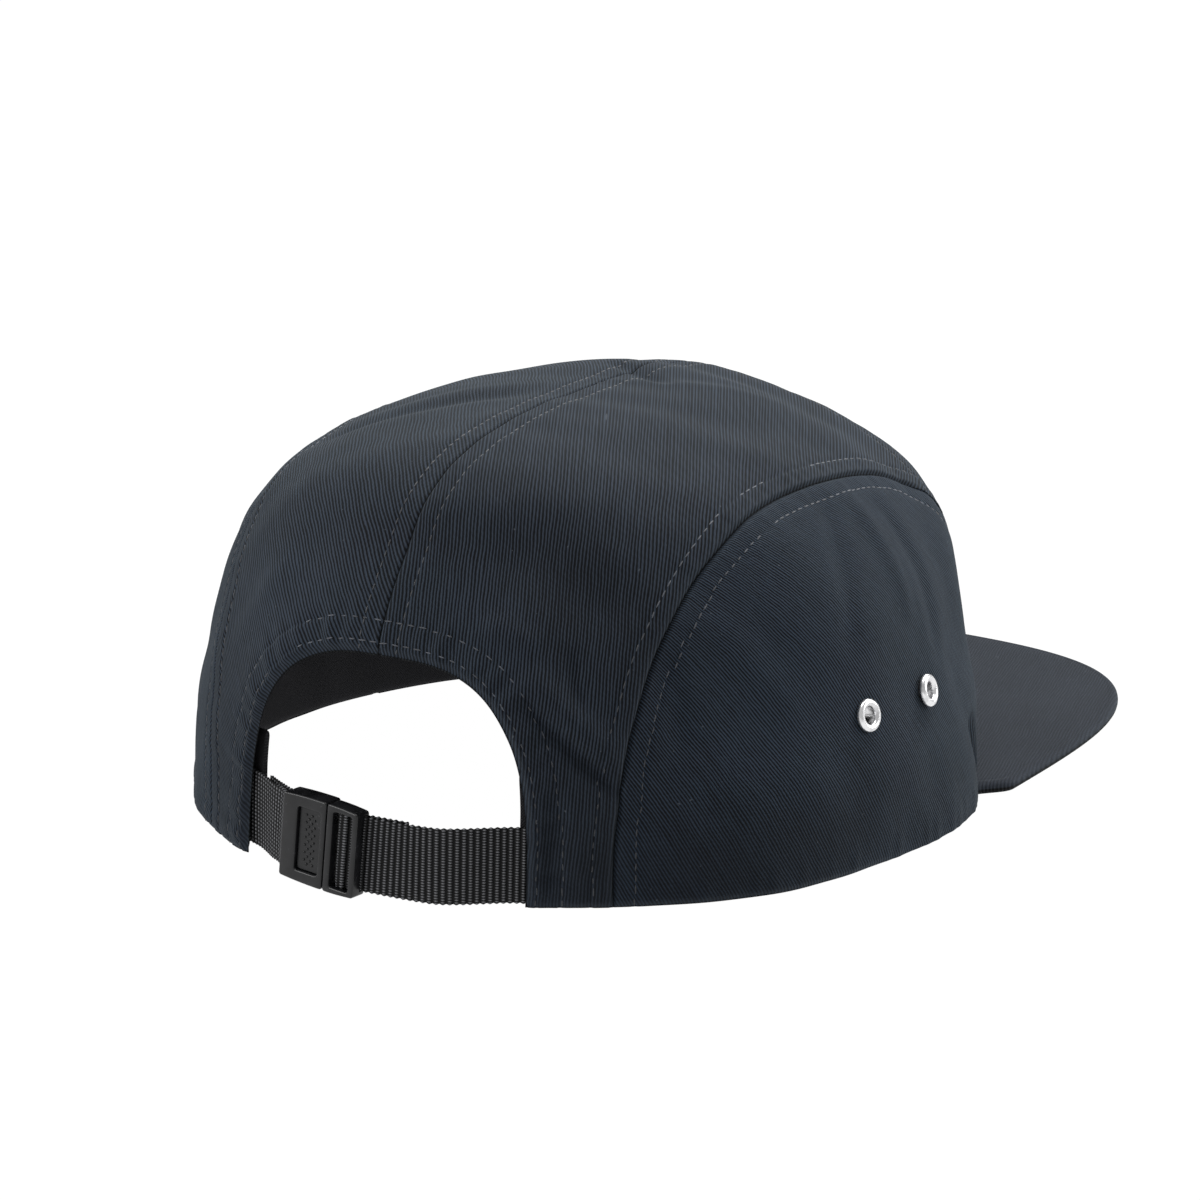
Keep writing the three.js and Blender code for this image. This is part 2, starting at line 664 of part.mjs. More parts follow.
const HALF_BUCKLE = BUCKLE_LENGTH / 2;
const SPLIT = HALF_BUCKLE - SOCKET_LENGTH;
const BAR_ROOM = BAR_RADIUS + WEBBING_THICKNESS + 2 * GAP;
const PLUG_WINDOW_END = SPLIT - GAP - PLUG_INNER_FRAME;
const PLUG_BAR = PLUG_WINDOW_END - BAR_ROOM;
const PLUG_WINDOW_START = -HALF_BUCKLE + PLUG_FRAME;
const SOCKET_BAR = HALF_BUCKLE - BAR_RADIUS;
const SOCKET_SLOT = SOCKET_BAR - BAR_ROOM;
const tailX = OPENING_WIDTH / 2 + WEBBING_TAIL;

function strapStretch(from, to, inward) {
  const points = [];
  const steps = Math.max(2, Math.round(Math.abs(to - from) / STRAP_STEP));
  for (let k = 0; k <= steps; k += 1) {
    const x = THREE.MathUtils.lerp(from, to, k / steps);
    const slope = strapPlan(x + 0.5).sub(strapPlan(x - 0.5)).normalize();
    const across = new THREE.Vector2(slope.y, -slope.x);
    points.push(strapPlan(x).addScaledVector(across, inward));
  }
  return points;
}

const LAYER = WEBBING_THICKNESS + LAYER_GAP;
const plugEndX = onBuckle(-HALF_BUCKLE - 1, 0).x;
const socketEndX = onBuckle(HALF_BUCKLE + 3, 0).x;
const strapBehindFrame = onBuckle(PLUG_WINDOW_START, PASS_OUT);
addPiece('strap_long', webbing([
  ...strapStretch(-tailX, plugEndX, 0),
  strapBehindFrame,
  ...turnRound(PLUG_BAR, 1),
  ...strapStretch(plugEndX + 1, plugEndX - WEBBING_FOLD, LAYER),
]), WEBBING_FINISH);
addPiece('strap_short', webbing([
  ...strapStretch(tailX, socketEndX, 0),
  ...turnRound(SOCKET_BAR, -1),
  ...strapStretch(socketEndX, OPENING_WIDTH / 2 - BAND_OVERRUN - 2, LAYER),
]), WEBBING_FINISH);

// The buckle: a socket with a window, and a plug whose tongue carries the push button

function block(fromAlong, toAlong, fromOut, toOut, height) {
  const box = new THREE.BoxGeometry(toAlong - fromAlong, toOut - fromOut, height);
  box.translate((fromAlong + toAlong) / 2, (fromOut + toOut) / 2, 0);
  return toSolid(box);
}

// A plate with rounded edges, its height easing from one end to the other
function plate(fromAlong, toAlong, fromHeight, toHeight) {
  const shape = new THREE.Shape();
  const middle = (fromAlong + toAlong) / 2;
  const crest = Math.max(fromHeight, toHeight) / 2;
  shape.moveTo(fromAlong, -fromHeight / 2);
  shape.quadraticCurveTo(middle, -crest, toAlong, -toHeight / 2);
  shape.lineTo(toAlong, toHeight / 2);
  shape.quadraticCurveTo(middle, crest, fromAlong, fromHeight / 2);
  shape.closePath();
  const geometry = new THREE.ExtrudeGeometry(shape, {
    depth: BUCKLE_THICKNESS - 2 * BUCKLE_EDGE,
    curveSegments: 6,
    bevelThickness: BUCKLE_EDGE,
    bevelSize: BUCKLE_EDGE,
    bevelOffset: -BUCKLE_EDGE,
    bevelSegments: 2,
  });
  geometry.rotateX(Math.PI / 2);
  geometry.translate(0, BUCKLE_THICKNESS / 2 - BUCKLE_EDGE, 0);
  return toSolid(geometry);
}

function bar(along) {
  const length = BUCKLE_HEIGHT - 2 * BUCKLE_EDGE;
  const rod = new THREE.CylinderGeometry(BAR_RADIUS, BAR_RADIUS, length, ROUND_STEPS);
  rod.rotateX(Math.PI / 2);
  rod.translate(along, BAR_OUT, 0);
  return toSolid(rod);
}

const STRAP_ROOM = WEBBING_WIDTH + 2 * GAP;
const FACE = BUCKLE_THICKNESS / 2;
const TONGUE_FACE = TONGUE_THICKNESS / 2;
const STRAP_FACE = PASS_OUT + WEBBING_THICKNESS / 2 + GAP;
const WINDOW_START = SPLIT + SOCKET_FRAME;
const WINDOW_END = WINDOW_START + WINDOW_LENGTH;

const strapSlot = block(SOCKET_SLOT, HALF_BUCKLE + PAST, -FACE - PAST, FACE + PAST, STRAP_ROOM);
const tongueRoom = block(
  SPLIT - PAST,
  WINDOW_END + GAP,
  -TONGUE_FACE - GAP,
  TONGUE_FACE + GAP,
  WINDOW_HEIGHT + 2 * GAP,
);
const socket = plate(SPLIT, HALF_BUCKLE, BUCKLE_HEIGHT, BUCKLE_HEIGHT - SOCKET_TAPER)
  .subtract(strapSlot)
  .subtract(tongueRoom)
  .subtract(block(WINDOW_START, WINDOW_END, 0, FACE + PAST, WINDOW_HEIGHT))
  .add(bar(SOCKET_BAR));

const strapWindow = block(
  PLUG_WINDOW_START,
  PLUG_WINDOW_END,
  -FACE - PAST,
  FACE + PAST,
  STRAP_ROOM,
);
const strapPass = block(
  -HALF_BUCKLE - PAST,
  PLUG_WINDOW_START + PAST,
  -FACE - PAST,
  STRAP_FACE,
  STRAP_ROOM,
);
const button = block(
  WINDOW_START + GAP,
  WINDOW_END - GAP,
  0,
  FACE - BUTTON_RECESS,
  WINDOW_HEIGHT - 2 * GAP,
);
const plug = plate(-HALF_BUCKLE, SPLIT - GAP, BUCKLE_HEIGHT - PLUG_TAPER, BUCKLE_HEIGHT)
  .subtract(strapWindow)
  .subtract(strapPass)
  .add(bar(PLUG_BAR))
  .add(block(SPLIT - PAST, WINDOW_END, -TONGUE_FACE, TONGUE_FACE, WINDOW_HEIGHT))
  .add(button);

for (const [name, solid] of [['buckle_socket', socket], ['buckle_plug', plug]]) {
  const piece = addPiece(name, toGeometry(solid), PLASTIC_FINISH);
  piece.position.set(buckleCentre.x, buckleCentre.y, STRAP_MIDDLE);
  piece.rotation.z = Math.atan2(buckleAlong.y, buckleAlong.x);
}

// The origin goes under the middle of the whole cap
cap.updateMatrixWorld(true);
const whole = new THREE.Box3().setFromObject(cap, true);
cap.position.y = -(whole.min.y + whole.max.y) / 2;

export default cap;
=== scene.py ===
# %% [markdown]
# # A five panel cap
# The cap has five panels of dark cotton twill: one over the forehead, one on each side and two
# that run from the strap opening over the top. A flat peak, an inner band, four eyelets and a
# strap with a push-button buckle finish it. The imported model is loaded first, and it fixes where
# everything goes. Lengths in this lesson are in millimetres until a mesh is written.

# %% Load the frame
import math

import bmesh
import bpy
import numpy as np
from mathutils import Matrix, Vector
from mathutils.bvhtree import BVHTree
from mathutils.kdtree import KDTree


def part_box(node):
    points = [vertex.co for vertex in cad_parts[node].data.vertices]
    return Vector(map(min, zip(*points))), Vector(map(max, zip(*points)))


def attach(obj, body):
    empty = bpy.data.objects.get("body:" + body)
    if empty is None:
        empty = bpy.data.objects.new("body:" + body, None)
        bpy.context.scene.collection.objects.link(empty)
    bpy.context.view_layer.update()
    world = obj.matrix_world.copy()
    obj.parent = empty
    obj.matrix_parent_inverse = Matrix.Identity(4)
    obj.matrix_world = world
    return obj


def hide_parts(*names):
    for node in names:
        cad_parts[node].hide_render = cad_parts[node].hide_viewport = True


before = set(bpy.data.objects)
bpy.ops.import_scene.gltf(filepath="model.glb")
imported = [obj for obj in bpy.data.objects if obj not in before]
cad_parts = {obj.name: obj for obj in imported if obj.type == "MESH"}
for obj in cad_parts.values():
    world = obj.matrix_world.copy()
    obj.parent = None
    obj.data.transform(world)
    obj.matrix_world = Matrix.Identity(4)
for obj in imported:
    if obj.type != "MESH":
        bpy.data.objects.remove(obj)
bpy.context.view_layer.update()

# %% [markdown]
# ## Camera
# The photograph looks at the back and the wearer's right side from a little above. A long lens
# at one metre gives its mild perspective. The camera's axes are built from two angles and a
# small roll, and the peak's box tells how far the crown's middle lies from the cap's middle.

# %% Camera
MM = 0.001
RIM_LENGTH = 198.0
RIM_WIDTH = 176.6
CROWN_HEIGHT = 95.5
PEAK_REACH = 61.0
SHIFT = np.array([0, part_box("peak")[0].y / MM + RIM_LENGTH / 2 + PEAK_REACH, 0])

CAMERA_AZIMUTH = math.radians(29.196)
CAMERA_HEIGHT = math.radians(14.371)
CAMERA_ROLL = math.radians(-1.248)
CAMERA_DISTANCE = 1000.0
CAMERA_AIM = Vector((-2.13, 0.0, 44.21))
SENSOR = 36.0
LENS = 128.61


def make_camera():
    level = Vector((-math.sin(CAMERA_AZIMUTH), math.cos(CAMERA_AZIMUTH), 0))
    back = level * math.cos(CAMERA_HEIGHT) + Vector((0, 0, math.sin(CAMERA_HEIGHT)))
    across = Vector((-math.cos(CAMERA_AZIMUTH), -math.sin(CAMERA_AZIMUTH), 0))
    upward = back.cross(across)
    right = across * math.cos(CAMERA_ROLL) - upward * math.sin(CAMERA_ROLL)
    up = across * math.sin(CAMERA_ROLL) + upward * math.cos(CAMERA_ROLL)
    data = bpy.data.cameras.new("camera")
    data.lens = LENS
    data.sensor_width = SENSOR
    data.clip_end = 20
    camera = bpy.data.objects.new("camera", data)
    place = (CAMERA_AIM + back * CAMERA_DISTANCE + Vector(SHIFT)) * MM
    turn = Matrix((right, up, back)).transposed().to_4x4()
    camera.matrix_world = Matrix.Translation(place) @ turn
    bpy.context.scene.collection.objects.link(camera)
    bpy.context.scene.camera = camera
    return right, up


camera_right, camera_up = make_camera()
print("camera looks from", [round(x, 3) for x in bpy.context.scene.camera.location])

# %% [markdown]
# ## The crown as level curves
# A soft crown is easiest to describe by the rounded outline that it has at each height. The
# table gives each outline's width and its reach to the front and the back. A smooth curve runs
# through each column without bulging past its rows, which a plain spline would do near the top.

# %% Level curves
CLOTH = 1.4
GAP = 0.3
RIM_ROUNDNESS = 2.03
# height share, width share, front reach share, back reach share
CROWN_ROWS = np.array([
    (0.00, 1.000, 0.500, 0.500),
    (0.20, 1.000, 0.488, 0.496),
    (0.40, 0.955, 0.472, 0.494),
    (0.60, 0.912, 0.466, 0.465),
    (0.75, 0.826, 0.420, 0.422),
    (0.87, 0.650, 0.340, 0.375),
    (0.95, 0.417, 0.262, 0.288),
    (0.99, 0.228, 0.184, 0.156),
    (1.00, 0.000, 0.000, 0.000),
])


def smooth_column(places, values):
    steps = np.diff(places)
    slopes = np.diff(values) / steps
    product = slopes[:-1] * slopes[1:]
    total = np.where(product > 0, slopes[:-1] + slopes[1:], 1)
    inner = np.where(product > 0, 2 * product / total, 0)
    tangents = np.concatenate([slopes[:1], inner, slopes[-1:]])

    def curve(place):
        i = np.clip(np.searchsorted(places, place, side="right") - 1, 0, len(steps) - 1)
        s = (place - places[i]) / steps[i]
        rise = values[i + 1] - values[i]
        a = steps[i] * tangents[i] - rise
        b = rise - steps[i] * tangents[i + 1]
        return values[i] + s * rise + s * (1 - s) * (a * (1 - s) + b * s)

    return curve


LATITUDES = np.arcsin(CROWN_ROWS[:, 0])
width_share, front_share, back_share = (
    smooth_column(LATITUDES, CROWN_ROWS[:, column]) for column in (1, 2, 3)
)


def level_curve(z, inset=0.0):
    latitude = np.arcsin(np.clip(z / (CROWN_HEIGHT - inset), 0, 1))
    half = (RIM_WIDTH / 2 - inset) * width_share(latitude)
    front = (RIM_LENGTH - 2 * inset) * front_share(latitude)
    back = (RIM_LENGTH - 2 * inset) * back_share(latitude)
    return [np.maximum(size, 1e-6) for size in (half, front, back)]


def rounded(value):
    return np.clip(1 - np.abs(value) ** RIM_ROUNDNESS, 0, None) ** (1 / RIM_ROUNDNESS)


def half_width(y, z, inset=0.0):
    half, front, back = level_curve(z, inset)
    return half * rounded(y / np.where(y < 0, front, back))


def reach_at(x, z, inset=0.0, side=1):
    half, front, back = level_curve(z, inset)
    return np.where(side < 0, -front, back) * rounded(x / half)


def unit(vectors):
    return vectors / np.linalg.norm(vectors, axis=-1, keepdims=True)


def bend(value, power):
    return np.sign(value) * np.abs(value) ** power


print("crown at mid height reaches", np.round(half_width(0.0, CROWN_HEIGHT / 2), 1))

# %% [markdown]
# A worn crown isn't a clean dome. A few soft dents press it in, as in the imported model, and in
# places the cloth stands out a millimetre or two. Points are brought onto the crown along
# straight lines from the middle of the rim, so the same line also finds the inner side.

# %% Points on the crown
# place, spread along each axis and depth, all as shares of width, length and height
DENTS = [
    (-0.10, -0.17, 0.97, 0.30, 0.035, 0.20, 0.014),
    (0.22, -0.10, 0.90, 0.12, 0.050, 0.20, 0.010),
    (-0.24, 0.40, 0.62, 0.05, 0.060, 0.20, 0.010),
    (0.25, 0.40, 0.55, 0.06, 0.060, 0.22, 0.010),
    (-0.50, -0.13, 0.60, 0.10, 0.060, 0.18, 0.012),
    (0.50, -0.10, 0.60, 0.10, 0.070, 0.18, 0.012),
    (0.36, 0.10, 0.75, 0.10, 0.300, 0.22, 0.009),
    (-0.36, -0.38, 0.12, 0.10, 0.080, 0.20, 0.014),
]
# the same for places that stand out a little
SWELLS = [
    (0.00, -0.13, 1.00, 0.22, 0.100, 0.25, 0.016),
    (-0.33, -0.23, 0.72, 0.10, 0.070, 0.14, 0.014),
    (-0.50, -0.08, 0.00, 0.10, 0.160, 0.14, 0.022),
]
CROWN_SIZE = np.array([RIM_WIDTH, RIM_LENGTH, CROWN_HEIGHT])
HALVINGS = 40


def dent_depth(points):
    depth = np.zeros(points.shape[:-1])
    for sign, table in ((1, DENTS), (-1, SWELLS)):
        for *numbers, deep in table:
            place, spread = np.array(numbers[:3]), np.array(numbers[3:])
            away = (points / CROWN_SIZE - place) / spread
            depth += sign * deep * CROWN_HEIGHT * np.exp(-(away**2).sum(-1))
    return depth


def crown_level(points, inset=0.0):
    x, y, z = np.moveaxis(points, -1, 0)
    half, front, back = level_curve(z, inset)
    reach = np.where(y < 0, front, back)
    return np.abs(x / half) ** RIM_ROUNDNESS + np.abs(y / reach) ** RIM_ROUNDNESS


def onto_crown(points, inset=0.0):
    points = np.asarray(points, float)
    direction = unit(points)
    near = np.zeros(points.shape[:-1])
    far = near + RIM_LENGTH
    for _ in range(HALVINGS):
        middle = (near + far) / 2
        surface = direction * middle[..., None]
        inside = (crown_level(surface, inset) < 1) & (surface[..., 2] < CROWN_HEIGHT - inset)
        near = np.where(inside, middle, near)
        far = np.where(inside, far, middle)
    surface = direction * near[..., None]
    return surface - direction * dent_depth(surface)[..., None]


def crown_normals(points):
    """The way out of the crown at each point, from how its level grows along each axis."""
    step = 0.05
    flat = points.copy()
    flat[..., 2] = np.clip(flat[..., 2], 2 * step, CROWN_HEIGHT - 6 * step)
    grow = [crown_level(flat + step * a) - crown_level(flat - step * a) for a in np.eye(3)]
    return unit(np.stack(grow, -1))


# %% [markdown]
# ## Seams
# Every panel ends on the seams it shares with its neighbours, so each seam is worked out once:
# the arch round a side panel, the edge of the strap opening, the centre seam and the seam across
# the front. A seam is kept as a dense line of points, and shares of its length give places on it.

# %% Seam lines
ARCH_HEIGHT = 81.0
ARCH_BACK = 80.4
ARCH_FRONT = 66.0
ARCH_ROUNDNESS = 2.62
ARCH_CORNER = 0.28 * math.pi
FRONT_SEAM_SETBACK = 51.0
OPENING_WIDTH = 72.0
OPENING_HEIGHT = 52.0
OPENING_ROUNDNESS = {-1: 3.1, 1: 2.6}
SEAM_SAMPLES = 500
CURVE_SAMPLES = 8 * SEAM_SAMPLES


def lengths_along(line):
    return np.concatenate([[0], np.cumsum(np.linalg.norm(np.diff(line, axis=0), axis=1))])


def line_length(line):
    return lengths_along(line)[-1]


def at_shares(line, shares):
    lengths = lengths_along(line)
    wanted = np.asarray(shares) * lengths[-1]
    return np.stack([np.interp(wanted, lengths, line[:, k]) for k in range(line.shape[1])], -1)


def seam_through(line):
    return at_shares(line, np.linspace(0, 1, SEAM_SAMPLES))


def seam_line(curve, start, end):
    return seam_through(curve(np.linspace(start, end, CURVE_SAMPLES)))


def arch_point(side, angle):
    y = (ARCH_BACK - ARCH_FRONT) / 2
    y = y + (ARCH_BACK + ARCH_FRONT) / 2 * bend(np.cos(angle), 2 / ARCH_ROUNDNESS)
    z = ARCH_HEIGHT * bend(np.sin(angle), 2 / ARCH_ROUNDNESS)
    return np.stack([side * half_width(y, z), y, z], -1)


def opening_point(side, angle):
    power = 2 / OPENING_ROUNDNESS[side]
    x = side * OPENING_WIDTH / 2 * bend(np.cos(angle), power)
    z = OPENING_HEIGHT * bend(np.sin(angle), power)
    return np.stack([x, reach_at(x, z), z], -1)


def top_point(x, y):
    x, y = np.broadcast_arrays(x, y)
    low = np.zeros(x.shape)
    high = low + CROWN_HEIGHT
    for _ in range(HALVINGS):
        z = (low + high) / 2
        wide = half_width(y, z) > np.abs(x)
        low, high = np.where(wide, z, low), np.where(wide, high, z)
    return np.stack([x, y, low], -1)


def over_top(angle):
    return onto_crown(np.stack([0 * angle, np.sin(angle), np.cos(angle)], -1))


def seams_of(side):
    front_corner = np.pi - ARCH_CORNER
    joint = arch_point(side, front_corner)
    setback = -FRONT_SEAM_SETBACK

    def arch(start, end):
        return seam_line(lambda a: arch_point(side, a), start, end)

    def across(s):
        return top_point(joint[0] * (1 - s), setback + (joint[1] - setback) * (1 - s) ** 2)

    opening_top = opening_point(side, np.pi / 2)
    middle = top_point(0.0, setback)
    return {
        "back_rise": arch(0, ARCH_CORNER),
        "over": arch(ARCH_CORNER, front_corner),
        "front_rise": down_to_rim(arch(front_corner, np.pi)),
        "arch": down_to_rim(arch(0, np.pi)),
        "across": seam_line(across, 0, 1),
        "opening": seam_line(lambda a: opening_point(side, a), 0, np.pi / 2),
        "centre": seam_line(
            over_top,
            np.arctan2(opening_top[1], opening_top[2]),
            np.arctan2(middle[1], middle[2]),
        ),
    }


print("opening is", OPENING_WIDTH, "by", OPENING_HEIGHT, "mm")

# %% [markdown]
# The front of the crown stands on the peak and not on the table. Its lower edge follows the top
# of the peak, which is a flat board that rises a little toward its middle.

# %% Rim and peak heights
PEAK_WIDTH = 1.0023 * RIM_WIDTH
PEAK_THICKNESS = 3.0
PEAK_RISE = 1.6
PEAK_CORNER = 36.0
PEAK_FLARE = 12.0
PEAK_ROUNDNESS = 4.0


def ease(value, start, end):
    t = np.clip((value - start) / (end - start), 0, 1)
    return t * t * (3 - 2 * t)


def peak_rise(x):
    return PEAK_RISE * (1 - np.clip(2 * np.abs(x) / PEAK_WIDTH, 0, 1) ** 2)


def rim_height(x, y):
    return (peak_rise(x) + PEAK_THICKNESS) * ease(-y, PEAK_CORNER - 1, PEAK_CORNER + 3)


def side_rim(side):
    y = np.linspace(ARCH_BACK, -ARCH_FRONT, SEAM_SAMPLES)
    x = side * half_width(y, 0.0)
    return seam_through(np.stack([x, y, rim_height(x, y)], -1))


def down_to_rim(line):
    """Ends a seam where it meets the lower edge of the crown at the front."""
    above = line[:, 2] - rim_height(line[:, 0], line[:, 1])
    last = SEAM_SAMPLES // 2 + int(np.argmax(above[SEAM_SAMPLES // 2 :] <= 0))
    share = above[last - 1] / (above[last - 1] - above[last])
    foot = line[last - 1] + (line[last] - line[last - 1]) * share
    return seam_through(np.concatenate([line[:last], [foot]]))


def front_rim():
    half = half_width(-ARCH_FRONT, 0.0)
    x = -half * np.cos(np.linspace(0, np.pi, SEAM_SAMPLES))
    y = reach_at(x, 0.0, side=-1)
    return seam_through(np.stack([x, y, rim_height(x, y)], -1))


def back_rim(side):
    x = side * np.linspace(OPENING_WIDTH / 2, half_width(ARCH_BACK, 0.0), SEAM_SAMPLES)
    return seam_through(np.stack([x, reach_at(x, 0.0), 0 * x], -1))


SEAMS = {side: seams_of(side) for side in (-1, 1)}
print("arch seam is", round(line_length(SEAMS[1]["arch"])), "mm long")
print("front rim is", round(line_length(front_rim())), "mm long")

# %% [markdown]
# ## What sewing does to the cloth
# A sewn edge is what makes a cap look like cloth. The panel dips into the seam, swells over the
# folded seam allowance, and is drawn down again under each row of top stitching, which also
# gathers it into small puckers. One table gives these for each kind of edge, and a function turns
# the distance from an edge into height.

# %% Sewn edges
# kind: depth of the dip, its width, swell over the allowance, stitch rows, pucker height; in mm
EDGES = {
    "lap": (0.80, 0.40, 0.26, (4.8,), 0.07),
    "under": (0.95, 0.62, 0.02, (4.7,), 0.07),
    "plain": (0.42, 0.34, 0.03, (4.6,), 0.03),
    "opening": (1.15, 1.20, 0.30, (2.5, 7.4), 0.34),
    "rim": (0.80, 0.80, 0.10, (), 0.10),
}
ROW_DEPTH = 0.20
ROW_WIDTH = 0.45
PUCKER_WAVES = ((4.1, 0.3), (5.7, 1.9), (8.3, 4.0), (13.7, 2.2))
STITCH_PITCH = 2.6
ALLOWANCE = 5.0
RISE_PAST_ROW = 0.06


def bell(value, wide):
    return np.exp(-((value / wide) ** 2))


def edge_relief(kind, distance, along):
    """Height of the cloth beside one edge, and how deep it dips into the seam there."""
    dip, wide, swell, rows, pucker = EDGES[kind]
    last = rows[-1] if rows else ALLOWANCE
    height = swell * (ease(distance, 0.2, wide + 0.8) - ease(distance, last - 0.5, last + 0.5))
    for row in rows:
        height = height - ROW_DEPTH * bell(distance - row, ROW_WIDTH)
    if rows:
        height = height + RISE_PAST_ROW * bell(distance - last - 1.9, 1.3)
    waves = sum(np.cos(2 * np.pi * along / wave + turn) for wave, turn in PUCKER_WAVES)
    reach = bell(distance - 0.6 * last, 0.62 * last)
    height = height + pucker * waves / 2 * reach * ease(distance, 0, 1.2)
    return height, dip * bell(distance, wide)


# %% [markdown]
# The rest of the cloth is never quite smooth. Slow waves in all directions, the same for every
# panel so that they pass under the seams, stand for how it has been worn and handled.

# %% Soft waves in the cloth
draw = np.random.default_rng(7)
# length and height in millimetres, and how many waves
WAVE_BANDS = ((62.0, 0.30, 7), (30.0, 0.11, 9), (15.0, 0.035, 10))
WAVE_SHARE = 0.8


def wave_table():
    rows = []
    for length, height, count in WAVE_BANDS:
        for _ in range(count):
            direction = unit(draw.normal(size=3))
            pitch = length * draw.uniform(0.75, 1.3)
            rows.append((*(direction * 2 * np.pi / pitch), draw.uniform(0, 6.28), height))
    return np.array(rows)


WAVES = wave_table()


def cloth_waves(points):
    phase = points @ WAVES[:, :3].T + WAVES[:, 3]
    return (np.cos(phase) * WAVES[:, 4]).sum(-1) * WAVE_SHARE


# %% [markdown]
# A few folds can be made out one by one: beside the strap opening, over the side panel, across
# the top and where the peak's corner meets the crown. Each is a straight line on the crown with
# a width and a height, and fades toward its ends.

# %% Folds
# start, end, half width, height: in millimetres
FOLDS = [
    ((-35, 87, 50), (-50, 80, 34), 3.4, 1.7),
    ((-35, 89, 44), (-52, 80, 26), 1.9, -1.8),
    ((-47, 83, 22), (-45, 84, 8), 3.2, 1.1),
    ((-41, 88, 27), (-41, 88, 2), 2.2, -1.2),
    ((-33, 84, 56), (-24, 87, 61), 3.0, 1.0),
    ((-40, 79, 54), (-44, 82, 44), 2.0, -1.0),
    ((-56, 68, 52), (-60, 66, 34), 4.0, -0.9),
    ((-66, 2, 80), (-81, -1, 52), 3.4, 0.6),
    ((-66, 13, 79), (-80, 26, 52), 3.6, -0.6),
    ((-70, -8, 76), (-83, -14, 40), 3.4, -0.6),
    ((-66, 56, 58), (-76, 43, 38), 5.0, 0.7),
    ((-85, -31, 20), (-82, -43, 2), 2.4, -1.9),
    ((48, 38, 82), (12, 18, 94), 3.6, -0.9),
    ((48, 28, 86), (10, 9, 95), 4.0, 0.5),
    ((6, -19, 96), (-12, -11, 96), 2.4, -0.9),
    ((2, -3, 97), (-34, -23, 91), 3.6, 0.4),
    ((30, 78, 62), (44, 76, 40), 5.0, 0.7),
    ((-22, 74, 78), (-46, 72, 62), 9.0, -1.6),
]


def folds(points):
    """Height of the folds at points of the crown, measured as seen from the middle of the rim."""
    height = np.zeros(points.shape[:-1])
    reach = np.linalg.norm(points, axis=-1, keepdims=True)
    way = points / reach
    for start, end, wide, high in FOLDS:
        start, end = unit(np.array(start, float)), unit(np.array(end, float))
        share = ((way - start) @ (end - start)) / ((end - start) ** 2).sum()
        foot = unit(start + (end - start) * np.clip(share, 0, 1)[..., None])
        away = (((way - foot) * reach) ** 2).sum(-1) / wide**2
        past = np.clip(np.abs(share - 0.5) - 0.25, 0, None) / 0.35
        height += high * np.exp(-away - past**2)
    return height


# %% [markdown]
# A distance from a seam is looked up with a k-d tree, which finds the nearest of many points
# quickly. The two stretches of seam beside that point then give the exact distance, and how far
# along the seam it is.

# %% Distance from a seam
TREE_STEP = 0.5


class SeamTree:
    def __init__(self, kind, line):
        length = line_length(line)
        count = int(length / TREE_STEP)
        self.kind = kind
        self.line = at_shares(line, np.linspace(0, 1, count))
        self.step = length / (count - 1)
        self.tree = KDTree(count)
        for number, point in enumerate(self.line):
            self.tree.insert(point, number)
        self.tree.balance()

    def measure(self, points):
        flat = points.reshape(-1, 3)
        near = np.array([self.tree.find(point)[1] for point in flat])
        found = []
        for start in (near - 1, near):
            start = np.clip(start, 0, len(self.line) - 2)
            foot, ahead = self.line[start], self.line[start + 1] - self.line[start]
            share = ((flat - foot) * ahead).sum(-1) / (ahead * ahead).sum(-1)
            share = np.clip(share, 0, 1)
            gap = np.linalg.norm(flat - foot - ahead * share[:, None], axis=-1)
            found.append((gap, (start + share) * self.step))
        (first, along), (second, further) = found
        distance = np.minimum(first, second)
        along = np.where(first < second, along, further)
        return distance.reshape(points.shape[:-1]), along.reshape(points.shape[:-1])


# %% [markdown]
# ## Materials
# Shader maths reads best as plain expressions, so a small class wraps a socket and turns the
# usual operators into Math nodes. One method on the recipe makes every other node from its type,
# its settings and the values of its sockets.

# %% Writing materials as expressions
class Wire:
    def __init__(self, recipe, socket):
        self.recipe = recipe
        self.socket = socket

    def maths(self, operation, first, second=None, third=None):
        values = {n: v for n, v in enumerate((first, second, third)) if v is not None}
        return self.recipe.node("Math", {"operation": operation}, values)

    def __add__(self, other):
        return self.maths("ADD", self, other)

    def __sub__(self, other):
        return self.maths("SUBTRACT", self, other)

    def __rsub__(self, other):
        return self.maths("SUBTRACT", other, self)

    def __mul__(self, other):
        return self.maths("MULTIPLY", self, other)

    def __truediv__(self, other):
        return self.maths("DIVIDE", self, other)

    def __rtruediv__(self, other):
        return self.maths("DIVIDE", other, self)

    def __pow__(self, other):
        return self.maths("POWER", self, other)

    def __neg__(self):
        return self.maths("MULTIPLY", self, -1)

    __radd__ = __add__
    __rmul__ = __mul__

    def cosine(self):
        return self.maths("COSINE", self)

    def wave(self):
        """1 at whole numbers and 0 half way between them."""
        return (self * (2 * math.pi)).cosine() * 0.5 + 0.5

    def floor(self):
        return self.maths("FLOOR", self)

    def between(self, low, high):
        """0 below low, 1 above high, and a soft step between them."""
        sockets = {"Value": self, "From Min": low, "From Max": high}
        settings = {"interpolation_type": "SMOOTHSTEP", "clamp": True}
        return self.recipe.node("MapRange", settings, sockets)


